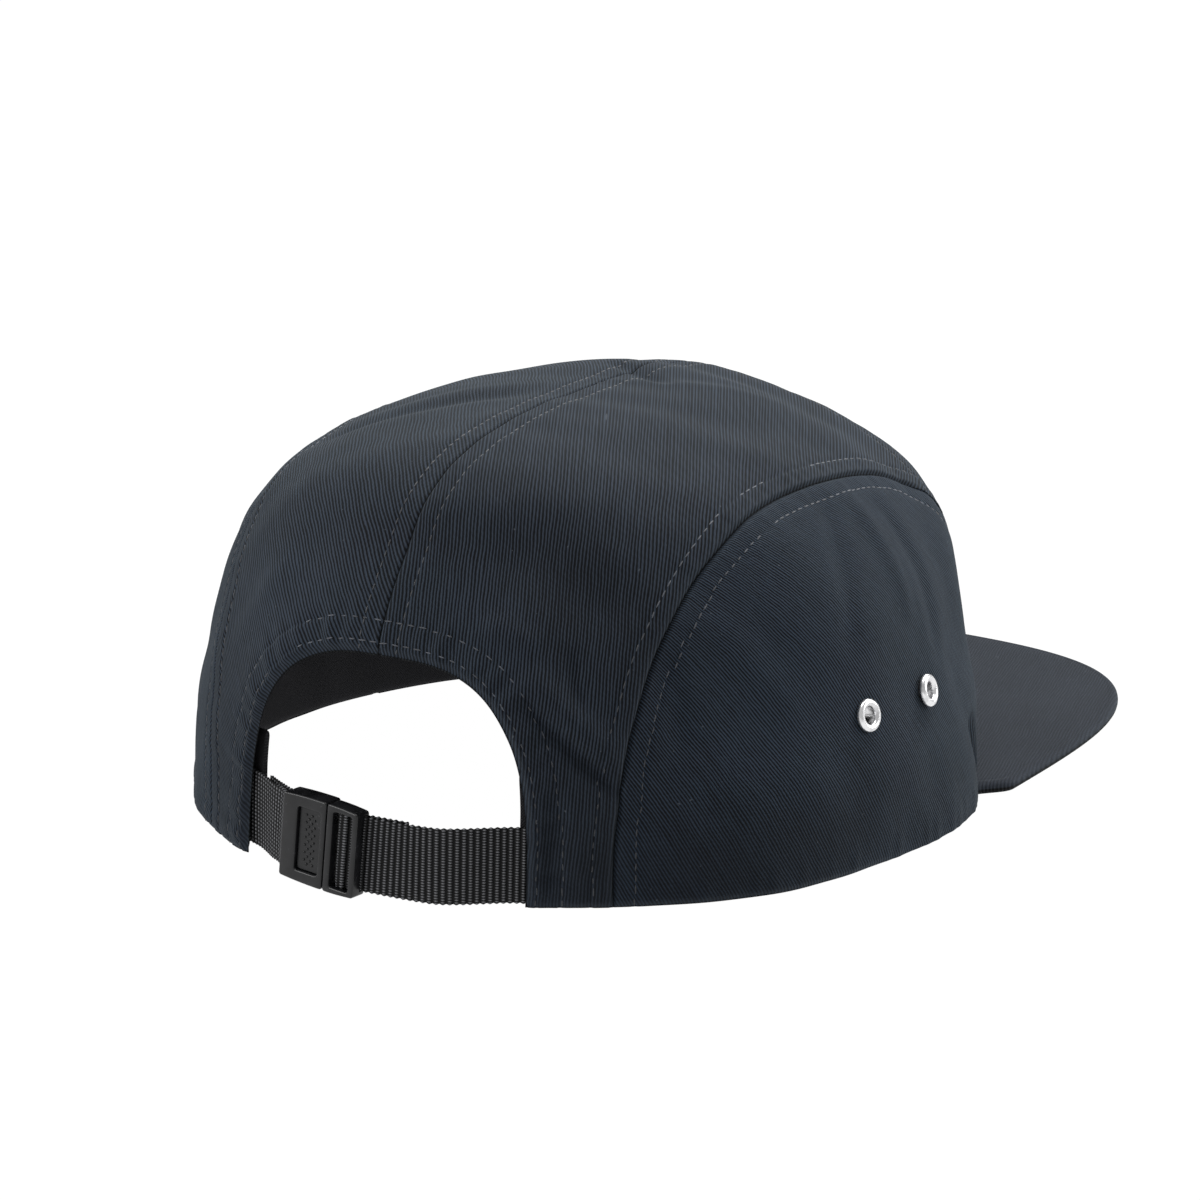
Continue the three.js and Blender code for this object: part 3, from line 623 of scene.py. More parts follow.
class Recipe:
    def __init__(self, name, **constants):
        self.material = bpy.data.materials.new(name)
        self.material.use_nodes = True
        self.tree = self.material.node_tree
        self.shader = self.tree.nodes["Principled BSDF"]
        for socket, value in constants.items():
            self.shader.inputs[socket.replace("_", " ")].default_value = value

    def node(self, kind, settings=None, sockets=None, output=0):
        made = self.tree.nodes.new("ShaderNode" + kind)
        for name, value in (settings or {}).items():
            setattr(made, name, value)
        for name, value in (sockets or {}).items():
            if isinstance(value, Wire):
                self.tree.links.new(value.socket, made.inputs[name])
            else:
                made.inputs[name].default_value = value
        return Wire(self, made.outputs[output])

    def attribute(self, name):
        """The three numbers of a mesh attribute."""
        vector = self.node("Attribute", {"attribute_name": name}, output="Vector")
        return vector, *self.split(vector)

    def split(self, vector):
        parts = self.node("SeparateXYZ", None, {0: vector})
        outputs = parts.socket.node.outputs
        return [Wire(self, outputs[k]) for k in range(3)]

    def place(self):
        return self.node("TexCoord", output="Object")

    def noise(self, vector, scale, detail=2.0, roughness=0.5, stretch=None):
        if stretch:
            vector = self.node("Mapping", None, {"Vector": vector, "Scale": stretch})
        sockets = {"Vector": vector, "Scale": scale, "Detail": detail, "Roughness": roughness}
        return self.node("TexNoise", None, sockets)

    def mix(self, share, first, second):
        """One colour passing into another."""
        return self.node("Mix", {"data_type": "RGBA"}, {0: share, 6: first, 7: second}, output=2)

    def finish(self, colour=None, roughness=None, height=None, distance=0.0001, strength=1.0):
        if colour is not None:
            self.tree.links.new(colour.socket, self.shader.inputs["Base Color"])
        if roughness is not None:
            self.tree.links.new(roughness.socket, self.shader.inputs["Roughness"])
        if height is not None:
            sockets = {"Height": height, "Distance": distance, "Strength": strength}
            bump = self.node("Bump", None, sockets)
            self.tree.links.new(bump.socket, self.shader.inputs["Normal"])
        return self.material


# %% [markdown]
# ### Cotton twill
# Twill is woven in steps, so it shows fine slanting ribs, each a row of short floats of yarn. The
# ribs need coordinates that lie in the cloth, turned to the grain of each panel. They come as an
# attribute in millimetres: across the ribs, along them, and a number for the panel. Slow noise
# bends the ribs and varies the dye, seams and edges are rubbed paler, and a little lint sits on
# top. A third attribute holds how blue a panel's dye is, which it took from its bolt, how much
# paler or darker a place is, which is painted light and painted shade, and how clear its ribs
# are. Right at the seams and edges the cloth is painted dark, as shade in the groove, and its
# inner side is painted near black, as the shade inside the crown.

# %% Cotton twill
RIB_PITCH = 0.735
FLOAT_LENGTH = 1.25
FLOAT_SHIFT = 0.37
TWILL_DARK = (0.0012, 0.0015, 0.0024, 1)
TWILL_PALE = (0.0248, 0.0306, 0.0412, 1)
TWILL_WORN = (0.0330, 0.0400, 0.0510, 1)
TWILL_BLUE = (0.0162, 0.0290, 0.0480, 1)
# painted shade: the colour of the cloth right at its seams and edges, for the shade in the groove
SEAM_PAINTED_SHADE = (0.0008, 0.0010, 0.0015, 1)
LINT = (0.0900, 0.1000, 0.1150, 1)
# painted shade: the inner side of the cloth, near black for the shade inside the crown
INSIDE_PAINTED_SHADE = (0.0003, 0.0003, 0.0004, 1)


def twill_finish(name, pale=TWILL_PALE, dark=TWILL_DARK, contrast=1.0):
    recipe = Recipe(
        name,
        Roughness=0.9,
        Sheen_Weight=0.06,
        Sheen_Roughness=0.45,
        Sheen_Tint=(0.50, 0.62, 0.68, 1),
        Specular_IOR_Level=0.14,
    )
    cloth, across, along, _ = recipe.attribute("cloth")
    _, distance, rubbed, inner = recipe.attribute("edge")
    _, blue, shade, clear = recipe.attribute("look")
    drift = recipe.noise(cloth, 0.09, 2.0) - 0.5
    uneven = recipe.noise(cloth, 1.0, 2.0, stretch=(1.3, 0.16, 1.0))
    ribs = (across + drift * 1.1 + uneven * 0.35) / RIB_PITCH
    rib = ribs.wave()
    floats = (ribs.floor() * FLOAT_SHIFT + along / FLOAT_LENGTH).wave()
    yarn = recipe.noise(cloth, 2.6, 2.0, 0.6, stretch=(1.0, 0.45, 1.0))
    clouds = recipe.noise(cloth, 0.055, 3.0, 0.6)
    bands = recipe.noise(cloth, 0.35, 2.0, 0.6, stretch=(1.0, 0.12, 1.0))
    relief = rib * (0.78 + floats * 0.22)
    tone = (relief - 0.44) * (1.50 * contrast) * clear + yarn * 0.4 + clouds * 0.34 + bands * 0.2
    colour = recipe.mix(blue, pale, TWILL_BLUE)
    # painted light and painted shade: the look's shade number makes places paler or darker
    colour = recipe.mix((tone + shade).between(-0.02, 1.21), dark, colour)
    colour = recipe.mix(rubbed * (0.25 + yarn * 0.75) * 0.45, colour, TWILL_WORN)
    # painted shade within 0.3 mm of each seam and edge
    colour = recipe.mix(distance.between(0.0, 0.30), SEAM_PAINTED_SHADE, colour)
    specks = recipe.noise(cloth, 0.75, 1.0, 0.5).between(0.775, 0.80)
    colour = recipe.mix(specks * 0.35, colour, LINT)
    # painted shade on the inner side of the cloth
    colour = recipe.mix(inner, colour, INSIDE_PAINTED_SHADE)
    roughness = 0.86 + yarn * 0.10
    height = relief * 0.75 + yarn * 0.25
    return recipe.finish(colour, roughness, height, distance=0.00017)


twill = twill_finish("cotton_twill")
print("made", twill.name, "with", len(twill.node_tree.nodes), "nodes")

# %% [markdown]
# ## Cloth as a closed wall
# Every piece of cloth starts as a flat grid. The grid is extruded once, which leaves the first
# faces as the inner side, makes the outer side, and closes all borders, holes too. Each vertex
# then moves to its place on the crown. The vertices carry their number in the grid, and the
# extruded ones inherit it, so both sides look their places up in the same way. A second layer
# marks the vertices that the extrusion made, because they are the outer side.

# %% Wall from a grid
FINE_STEPS = np.array([0, 0.3, 0.6, 0.95, 1.35, 1.85, 2.45])
CELL = 0.78
PLAIN_LOOK = (0.0, 0.0, 0.6)


def spaced(length):
    """Shares along a panel, close together near both of its ends."""
    ends = FINE_STEPS / length
    count = int(round((1 - 2 * ends[-1]) * length / CELL)) + 1
    middle = np.linspace(ends[-1], 1 - ends[-1], count)
    return np.concatenate([ends, middle[1:-1], 1 - ends[::-1]])


def link_piece(name, bm, material, sharp=50):
    mesh = bpy.data.meshes.new(name)
    bm.to_mesh(mesh)
    bm.free()
    for polygon in mesh.polygons:
        polygon.use_smooth = True
    mesh.set_sharp_from_angle(angle=math.radians(sharp))
    mesh.materials.append(material)
    piece = bpy.data.objects.new(name, mesh)
    bpy.context.scene.collection.objects.link(piece)
    return piece


def hand_over(piece, node):
    """Gives a finished piece to the frame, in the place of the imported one."""
    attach(piece, "root")
    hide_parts(node)
    print(node, len(piece.data.polygons), "faces")


def in_metres(points):
    return (np.asarray(points) + SHIFT) * MM


def add_grid(bm, columns, rows):
    """Adds a flat grid and lists its vertices, each with its column and row."""
    made = bmesh.ops.create_grid(bm, x_segments=columns - 1, y_segments=rows - 1, size=1)

    def number(place, count):
        return round((place + 1) / 2 * (count - 1))

    return [(v, number(v.co.x, columns), number(v.co.y, rows)) for v in made["verts"]]


def sewn_wall(outside, inside, cloth, edge, gone=None, look=None):
    """A closed wall of cloth between two grids of points, with its attributes."""
    look = np.ones_like(cloth) * PLAIN_LOOK if look is None else look
    rows, columns = outside.shape[:2]
    bm = bmesh.new()
    whole, vector = bm.verts.layers.int, bm.verts.layers.float_vector
    for layers, names in ((whole, ("number", "outer")), (vector, ("cloth", "edge", "look"))):
        for name in names:
            layers.new(name)
    number, outer = whole["number"], whole["outer"]
    for vert, column, row in add_grid(bm, columns, rows):
        vert[number] = row * columns + column
    if gone is not None:
        lost = gone.ravel()
        holes = [f for f in bm.faces if all(lost[v[number]] for v in f.verts)]
        bmesh.ops.delete(bm, geom=holes, context="FACES")
        loose = [v for v in bm.verts if not v.link_faces]
        bmesh.ops.delete(bm, geom=loose, context="VERTS")
    made = bmesh.ops.extrude_face_region(bm, geom=bm.faces[:], use_keep_orig=True)
    for item in made["geom"]:
        if isinstance(item, bmesh.types.BMVert):
            item[outer] = 1
    cloth_layer, edge_layer, look_layer = (vector[name] for name in ("cloth", "edge", "look"))
    lists = (in_metres(outside), in_metres(inside), cloth, edge, look)
    out_places, in_places, cloth, edge, look = (values.reshape(-1, 3) for values in lists)
    for vert in bm.verts:
        place = vert[number]
        below = not vert[outer]
        vert.co = (in_places if below else out_places)[place]
        vert[cloth_layer] = cloth[place]
        # distance from the nearest edge, which the twill uses for painted shade, how rubbed the
        # cloth is, and 1 on the inner side, which the twill paints near black as shade
        vert[edge_layer] = (edge[place][0], edge[place][1], 1.0 if below else 0.0)
        vert[look_layer] = look[place]
    bmesh.ops.recalc_face_normals(bm, faces=bm.faces)
    return bm


# %% [markdown]
# ## Panels
# A panel is spread between its four edges as a Coons patch, which bends a grid so that all four
# borders lie exactly on their seams. The patch is then laid on the crown, and the relief of its
# sewn edges is added along the way out of the crown. Slow waves and folds move both sides of the
# cloth, so that it keeps its thickness.

# %% Panel surface
def spread_between(bottom, top, left, right, u, v):
    u_row, v_column = u[None, :, None], v[:, None, None]
    ruled = (1 - v_column) * bottom[None] + v_column * top[None]
    crossed = (1 - u_row) * left[:, None] + u_row * right[:, None]
    low = (1 - u_row) * bottom[0] + u_row * bottom[-1]
    high = (1 - u_row) * top[0] + u_row * top[-1]
    return ruled + crossed - ((1 - v_column) * low + v_column * high)


# how rubbed the cloth is along each kind of edge
RUBBED = {"lap": 0.45, "opening": 0.6, "rim": 0.6, "plain": 0.15, "under": 0.15}
# how much thinner the wall is right at its edge, in millimetres
PINCH = {"opening": 1.1, "rim": 0.5}
HEM_FOLD = 1.0
HEM_START = 5.5
HEM_END = 9.0
FAR_FROM_EDGES = 50.0


def laid_cloth(points, trees):
    """Outer points, inner points, distance to the nearest edge and how rubbed the cloth is."""
    base = onto_crown(points)
    normals = crown_normals(base)
    slow = cloth_waves(base) + folds(base)
    relief = slow
    deepest = rubbed = 0 * slow
    thick = CLOTH + 0 * slow
    nearest = FAR_FROM_EDGES + 0 * slow
    for tree in trees:
        distance, along = tree.measure(base)
        height, dip = edge_relief(tree.kind, distance, along)
        relief = relief + height
        deepest = np.maximum(deepest, dip)
        nearest = np.minimum(nearest, distance)
        rubbed = np.maximum(rubbed, RUBBED[tree.kind] * bell(distance - 0.9, 0.8))
        thick = thick - PINCH.get(tree.kind, 0) * bell(distance, 1)
        if tree.kind == "opening":
            thick = thick + HEM_FOLD * (1 - ease(distance, HEM_START, HEM_END))
    outside = base + normals * (relief - deepest)[..., None]
    inside = onto_crown(points, CLOTH) + normals * (slow - (thick - CLOTH))[..., None]
    edge = np.stack([nearest, rubbed, 0 * nearest], -1)
    return outside, inside, edge


# a place on the crown in millimetres, its spread, and how much paler or darker it is: painted light
# where it is paler, painted shade where it is darker
PAINTED_LIGHT_AND_SHADE_PLACES = [
    ((-36, 71, 70), (15, 14, 12), -0.16),
    ((-53, 70, 53), (8, 12, 14), -0.12),
    ((-10, 64, 86), (14, 12, 10), -0.05),
    ((-70, 50, 4), (20, 34, 16), -0.16),
    ((-52, 58, 71), (8, 8, 8), 0.05),
    ((-20, 86, 61), (11, 8, 9), 0.10),
    ((-31, 87, 53), (6, 7, 6), 0.18),
    ((-44, 82, 43), (6, 8, 8), 0.22),
    ((28, 84, 58), (22, 12, 12), 0.30),
    ((62, 60, 60), (14, 20, 16), -0.10),
    ((30, 0, 92), (30, 10, 10), 0.08),
    ((-20, -22, 94), (24, 9, 10), 0.08),
    ((-55, -28, 78), (14, 14, 9), 0.06),
    ((-72, 46, 44), (12, 22, 18), 0.34),
    ((-84, -20, 30), (10, 22, 20), 0.04),
    ((-84, -30, 10), (10, 12, 12), -0.08),
]
# kind of panel: how blue its dye is, how pale it is, how clear its ribs are
PANEL_LOOKS = {"side": (0.60, 0.02, 1.3), "front": (0.70, 0.03, 0.8), "top": (0.30, 0.0, 1.0)}


def panel_look(name, points):
    blue, shade, clear = PANEL_LOOKS[name.split("_")[0]]
    # painted light and painted shade, added to the panel's own paleness
    for place, spread, amount in PAINTED_LIGHT_AND_SHADE_PLACES:
        shade = shade + amount * np.exp(-(((points - place) / spread) ** 2).sum(-1))
    clear = clear * (0.40 + 0.60 * ease(points[..., 2], 5, 50) + shade)  # ribs less clear low down, and the painted light and shade change this too
    return np.stack([blue + 0 * shade, shade, clear], -1)


cloth_pieces = {}
border_trees = {}


def make_panel(name, points, trees, grain, holes=()):
    outside, inside, edge = laid_cloth(points, trees)
    gone = None
    if holes:
        gone = np.zeros(outside.shape[:2], bool)
        for hole in holes:
            gone |= open_hole(outside, *hole)
            open_hole(inside, *hole)
    base = onto_crown(points)
    bm = sewn_wall(outside, inside, grain(base), edge, gone, panel_look(name, base))
    cloth_pieces[name] = link_piece(name + "_cloth", bm, twill)
    border_trees[name] = trees


def spread_panel(bottom, top, left, right):
    u = spaced(max(line_length(bottom), line_length(top)))
    v = spaced(max(line_length(left), line_length(right)))
    bottom, top = at_shares(bottom, u), at_shares(top, u)
    left, right = at_shares(left, v), at_shares(right, v)
    return spread_between(bottom, top, left, right, u, v)


def open_hole(points, centre, axis, radius):
    """Pushes the points round an eyelet out to its hole, and says which were inside it."""
    away = points - centre
    away -= (away @ axis)[..., None] * axis
    distance = np.linalg.norm(away, axis=-1)
    near = (distance < radius) & (np.linalg.norm(points - centre, axis=-1) < 3 * radius)
    points[near] += away[near] * (radius / np.maximum(distance[near], 1e-6) - 1)[:, None]
    return near


# %% [markdown]
# The grain of each panel decides how its ribs lie. A panel's cloth coordinates are measured on
# the crown: round it, and up over it. They are turned by the angle at which the panel was cut.
# The panel at the back right was cut so that its ribs stand nearly upright.

# %% Grain of each panel
CROWN_RADIUS = 92.0
TOP_LEFT_GRAIN = math.radians(30)
SIDE_GRAIN = math.radians(32)
FRONT_GRAIN = math.radians(-18)
UPRIGHT_TILT = math.radians(5)
PANEL_APART = 400.0


def turned(across, along, angle, panel):
    s = across * math.cos(angle) - along * math.sin(angle)
    t = across * math.sin(angle) + along * math.cos(angle)
    return np.stack([s + panel * PANEL_APART, t, 0 * s + panel], -1)


PROFILE_ANGLES = np.linspace(0, np.pi, 400)
profile_line = onto_crown(
    np.stack([0 * PROFILE_ANGLES, np.cos(PROFILE_ANGLES), np.sin(PROFILE_ANGLES) + 1e-9], -1)
)
PROFILE_LENGTHS = lengths_along(profile_line)


def over_grain(points, angle, panel):
    x, y, z = np.moveaxis(points, -1, 0)
    across = CROWN_RADIUS * np.arctan2(x, np.hypot(y, z))
    along = np.interp(np.arctan2(z, y), PROFILE_ANGLES, PROFILE_LENGTHS)
    return turned(across, along, angle, panel)


def upright_grain(points, panel):
    turn = (math.cos(UPRIGHT_TILT), -math.sin(UPRIGHT_TILT))
    across = np.array(camera_right) * turn[0] + np.array(camera_up) * turn[1]
    return np.stack([points @ across + panel * PANEL_APART, points[..., 2], 0 * points[..., 0]], -1)


def side_grain(points, side, panel):
    y, z = points[..., 1], points[..., 2]
    bend_in = np.arcsin(np.clip(y / RIM_LENGTH * 2, -1, 1)) * RIM_LENGTH / 2
    rise = CROWN_HEIGHT * (z / CROWN_HEIGHT + 0.35 * (z / CROWN_HEIGHT) ** 4)
    return turned(side * bend_in, rise, side * SIDE_GRAIN, panel)


# %% [markdown]
# ### Eyelet places
# The side panels need their holes before they are made, so the places of the four eyelets and
# the way each one faces come first.

# %% Eyelet places
EYELET_OUTSIDE = 7.6
EYELET_BORE = 3.8
EYELET_WALL = 0.7
EYELET_RIM = 1.1
EYELET_HEIGHT = 34.5
EYELET_FRONT = -3.0
EYELET_SPACING = 26.0


def on_side(side, y, z):
    return onto_crown(np.array([side * float(half_width(y, z)), y, z]))


def eyelet_places():
    found = {}
    for side_name, side in (("right", -1), ("left", 1)):
        for place, y in (("front", EYELET_FRONT), ("back", EYELET_FRONT + EYELET_SPACING)):
            at = on_side(side, y, EYELET_HEIGHT)
            reach = EYELET_OUTSIDE / 2
            along = on_side(side, y + reach, at[2]) - on_side(side, y - reach, at[2])
            upward = on_side(side, y, at[2] + reach) - on_side(side, y, at[2] - reach)
            axis = unit(np.cross(along, upward))
            axis *= np.sign(axis[0] * side)
            found[f"eyelet_{side_name}_{place}"] = (side, at, axis)
    return found


EYELETS = eyelet_places()
print(len(EYELETS), "eyelets")

# %% Side panels
HOLE_RADIUS = EYELET_BORE / 2 + EYELET_WALL + GAP


def side_panel(side_name, side):
    seams = SEAMS[side]
    rim = side_rim(side)
    make_panel(
        f"side_panel_{side_name}",
        spread_panel(rim, seams["over"], seams["back_rise"], seams["front_rise"][::-1]),
        [SeamTree("under", seams["arch"]), SeamTree("rim", rim)],
        lambda points: side_grain(points, side, 1 + side),
        [(at, axis, HOLE_RADIUS) for s, at, axis in EYELETS.values() if s == side],
    )


side_panel("right", -1)
side_panel("left", 1)
print("side panels made")

# %% [markdown]
# The two top panels run from the strap opening over the crown to the front seam. Their inner
# border has two parts, first the opening's hem and then the centre seam, joined end to end.

# %% Top panels
LOWER_SHARE = 0.35
ARCH_BESIDE_TOP = int(SEAM_SAMPLES * 0.8)
TOP_PANEL_WIDTH = 78
TOP_PANEL_LENGTH = 235


def joined(first, second):
    low = int(SEAM_SAMPLES * LOWER_SHARE)
    start = at_shares(first, np.linspace(0, 1, low, endpoint=False))
    rest = at_shares(second, np.linspace(0, 1, SEAM_SAMPLES - low))
    return np.concatenate([start, rest])


def at_places(line, shares):
    """Places on a line that is already spaced as its points are."""
    spots = np.linspace(0, 1, len(line))
    return np.stack([np.interp(shares, spots, line[:, k]) for k in range(3)], -1)


def top_panel(side_name, side, grain):
    seams = SEAMS[side]
    rim = back_rim(side)
    trees = [
        SeamTree("opening", seams["opening"]),
        SeamTree("plain", seams["centre"]),
        SeamTree("plain", seams["across"]),
        SeamTree("lap", seams["arch"][:ARCH_BESIDE_TOP]),
        SeamTree("rim", rim),
    ]
    inner = joined(seams["opening"], seams["centre"])
    outer = joined(seams["back_rise"], seams["over"])
    u, v = spaced(TOP_PANEL_WIDTH), spaced(TOP_PANEL_LENGTH)
    ends = [at_shares(line, u) for line in (rim, seams["across"][::-1])]
    points = spread_between(*ends, at_places(inner, v), at_places(outer, v), u, v)
    make_panel(f"top_panel_{side_name}", points, trees, grain)


top_panel("right", -1, lambda points: upright_grain(points, 2))
top_panel("left", 1, lambda points: over_grain(points, TOP_LEFT_GRAIN, 4))
print("top panels made")

# %% Front panel
right, left = SEAMS[-1], SEAMS[1]
front_top = np.concatenate([right["across"], left["across"][::-1][1:]])
front_trees = [
    SeamTree("plain", front_top),
    SeamTree("lap", right["front_rise"]),
    SeamTree("lap", left["front_rise"]),
    SeamTree("rim", front_rim()),
]
make_panel(
    "front_panel",
    spread_panel(front_rim(), front_top, right["front_rise"][::-1], left["front_rise"][::-1]),
    front_trees,
    lambda points: over_grain(points, FRONT_GRAIN, 6),
)

# %% Hand the panels to the frame
for node, piece in cloth_pieces.items():
    hand_over(piece, node)

# %% [markdown]
# ## Peak
# The peak is a stiff board between two faces of the same cloth. Its grid runs from the crown's
# edge out to the rounded front. Both faces close in toward the outer edge along a quarter of a
# circle, with a narrow band between them where the cloth is turned over the board.

# %% Peak
PEAK_EDGE = 1.7
PEAK_BAND = 0.35
PEAK_GRAIN = math.radians(14)
PEAK_STITCH_ROW = 2.6
PEAK_STITCH_DEPTH = 0.10
PEAK_COLUMNS = 380
PEAK_ROWS = 84
PEAK_SPREAD = 1.35
PEAK_PALE = (0.0206, 0.0246, 0.0345, 1)
PEAK_DARK = (0.0056, 0.0067, 0.0095, 1)


def peak_lines():
    angle = np.pi * ease(np.linspace(0, 1, CURVE_SAMPLES), 0, 1)
    reach = RIM_LENGTH / 2 + PEAK_REACH - PEAK_CORNER
    x = PEAK_WIDTH / 2 * bend(np.cos(angle), 2 / PEAK_ROUNDNESS)
    y = -PEAK_CORNER - reach * bend(np.sin(angle), 2 / PEAK_ROUNDNESS)
    start = 2 * half_width(-PEAK_CORNER, 0.0) / PEAK_WIDTH
    flare = ease(-y - PEAK_CORNER, 0, PEAK_FLARE)
    outer = np.stack([x * (start + (1 - start) * flare), y, 0 * x], -1)
    front = -RIM_LENGTH / 2 + CLOTH
    turn = np.linspace(-1, 1, SEAM_SAMPLES)
    y = front * np.cos(turn * math.acos(PEAK_CORNER / -front))
    inner = np.stack([-np.sign(turn) * half_width(y, 0.0, CLOTH), y, 0 * y], -1)
    return seam_through(inner), seam_through(outer)


def make_peak():
    inner, outer = peak_lines()
    u = np.linspace(0, 1, PEAK_COLUMNS)
    v = (1 - (1 - np.linspace(0, 1, PEAK_ROWS)) ** PEAK_SPREAD)[:, None, None]
    flat = at_shares(inner, u) * (1 - v) + at_shares(outer, u) * v
    distance, _ = SeamTree("peak", outer).measure(flat)
    half = PEAK_THICKNESS / 2
    across = np.linalg.norm(flat[-1] - flat[0], axis=-1)
    close = np.clip(1 - distance / np.clip(0.5 * across, 0.2, PEAK_EDGE), 0, 1)
    swell = (half - PEAK_BAND / 2) * np.sqrt(1 - close**2) + PEAK_BAND / 2
    middle = peak_rise(flat[..., 0]) + half
    groove = PEAK_STITCH_DEPTH * bell(distance - PEAK_STITCH_ROW, ROW_WIDTH)
    waves = 0.25 * cloth_waves(flat + [40, 0, 12]) * ease(distance, 1, 14)
    top = flat + np.stack([0 * middle, 0 * middle, middle + swell - groove + waves], -1)
    bottom = flat + np.stack([0 * middle, 0 * middle, np.maximum(middle - swell, 0.02)], -1)
    # the halved distance gives painted shade along the joint with the crown, within 0.6 mm of it
    from_crown = SeamTree("crown", inner).measure(flat)[0] * 0.5
    edge = np.stack([from_crown, 0.8 * bell(distance, 0.8), 0 * distance], -1)
    grain = turned(flat[..., 0], -flat[..., 1], PEAK_GRAIN, 8)
    bm = sewn_wall(top, bottom, grain, edge)
    peak_cloth = twill_finish("peak_twill", PEAK_PALE, PEAK_DARK, 0.7)
    hand_over(link_piece("peak_cloth", bm, peak_cloth), "peak")


make_peak()

# %% [markdown]
# ## Inner band
# A plain cotton band hangs inside the rim and ends beside the strap opening, where its end shows.
# It is one grid bent along the wall, a cloth thickness inside it, with its top and bottom edges
# thinned and rounded.

# %% Inner band
BAND_HEIGHT = 28.0
BAND_THICKNESS = 1.0
BAND_OVERRUN = 3.0
BAND_LIFT = 0.8
BAND_WEAVE = 0.7
BAND_ROUND = 1.2
BAND_ROWS = 22
BAND_COLUMNS = 520
WEBBING_THICKNESS = 1.0
WEBBING_WIDTH = 17.0
WEBBING_TAIL = 12.0
TAIL_INSET = CLOTH + 2 * GAP + WEBBING_THICKNESS
BUCKLE_HEIGHT = 20.0
BUCKLE_LIFT = 0.2
STRAP_MIDDLE = BUCKLE_LIFT + BUCKLE_HEIGHT / 2
STRAP_TOP = STRAP_MIDDLE + WEBBING_WIDTH / 2
BAND_CLEAR = WEBBING_TAIL + 5
BAND_BACK = 3 * WEBBING_TAIL


def band_finish():
    recipe = Recipe("band_cloth", Roughness=0.95, Specular_IOR_Level=0.2)
    cloth, across, along, _ = recipe.attribute("cloth")
    turns = 2 * math.pi / BAND_WEAVE
    weave = (across * turns).cosine() * (along * turns).cosine() * 0.5 + 0.5
    yarn = recipe.noise(cloth, 1.8, 3.0, 0.6)
    clouds = recipe.noise(cloth, 0.06, 2.0)
    tone = weave * 0.4 + yarn * 0.4 + clouds * 0.35
    colour = recipe.mix(tone.between(0.1, 1.0), (0.004, 0.004, 0.005, 1), (0.022, 0.022, 0.025, 1))
    return recipe.finish(colour, 0.9 + yarn * 0.08, weave + yarn, distance=0.0001)


def make_band():
    end_x = OPENING_WIDTH / 2 - BAND_OVERRUN
    half, _, _ = level_curve(np.array(0.0), TAIL_INSET)
    end = np.pi - np.arcsin(bend(end_x / half, RIM_ROUNDNESS / 2))
    angle = np.linspace(-end, end, BAND_COLUMNS)[None, :]
    tall = BAND_HEIGHT - BAND_LIFT
    middle = np.linspace(2 * BAND_ROUND, tall - 2, BAND_ROWS)
    height = np.concatenate([[0, 0.5, BAND_ROUND], middle, [tall - BAND_ROUND, tall - 0.5, tall]])
    z = (BAND_LIFT + height)[:, None]
    from_end = (end - np.abs(angle)) * RIM_LENGTH / 2
    clear = ease(from_end, BAND_CLEAR, BAND_BACK)
    level_z = np.maximum(z, STRAP_TOP) * (1 - clear) + z * clear
    near_end = np.clip(np.minimum(height, tall - height), 0, BAND_ROUND)[:, None]
    soft = 0.45 * (1 - near_end / BAND_ROUND) ** 2 + 0 * angle

    def wall(depth):
        inset = TAIL_INSET * (1 - clear) + (CLOTH + GAP) * clear + depth
        half, front, back = level_curve(level_z, inset)
        reach = np.where(np.cos(angle) > 0, front, back)
        x = half * bend(np.sin(angle), 2 / RIM_ROUNDNESS)
        y = -reach * bend(np.cos(angle), 2 / RIM_ROUNDNESS)
        return np.stack([x, y, z + 0 * x], -1)

    wave = 0.12 * np.cos(from_end / 3.1 + 0.6 * np.sin(from_end / 11)) * ease(z, 2, 14)
    outside = wall(soft)
    inside = wall(BAND_THICKNESS - soft + wave)
    grain = np.stack([from_end + 0 * z, z + 0 * from_end, 0 * (z + from_end)], -1)
    bm = sewn_wall(outside, inside, grain, 0 * grain)
    hand_over(link_piece("sweatband_cloth", bm, band_finish()), "sweatband")


make_band()

# %% [markdown]
# ## Eyelets
# An eyelet is a tube rolled over into a ring, pressed onto a washer at the back. Its section has
# only a few points, and the spin operator turns it into the ring.

# %% Eyelets
WASHER_WIDTH = 1.2
WASHER_THICKNESS = 0.6
RING_STEPS = 48


def nickel_finish():
    recipe = Recipe("nickel", Metallic=1.0, Roughness=0.2)
    place = recipe.place()
    stains = recipe.noise(place, 420, 3.0, 0.6)
    scratch = recipe.noise(place, 900, 2.0, 0.6, stretch=(1.0, 6.0, 1.0))
    colour = recipe.mix(stains.between(0.35, 0.8), (0.80, 0.80, 0.81, 1), (0.52, 0.52, 0.53, 1))
    return recipe.finish(colour, 0.16 + stains * 0.22, scratch, distance=0.00002, strength=0.5)


def set_down(bm, turn, place):
    """Turns a small part that was made round the origin, and moves it to its place."""
    bmesh.ops.recalc_face_normals(bm, faces=bm.faces)
    bmesh.ops.transform(bm, matrix=turn, verts=bm.verts)
    bmesh.ops.translate(bm, vec=Vector(place) + Vector(SHIFT), verts=bm.verts)
    bmesh.ops.scale(bm, vec=(MM, MM, MM), verts=bm.verts)


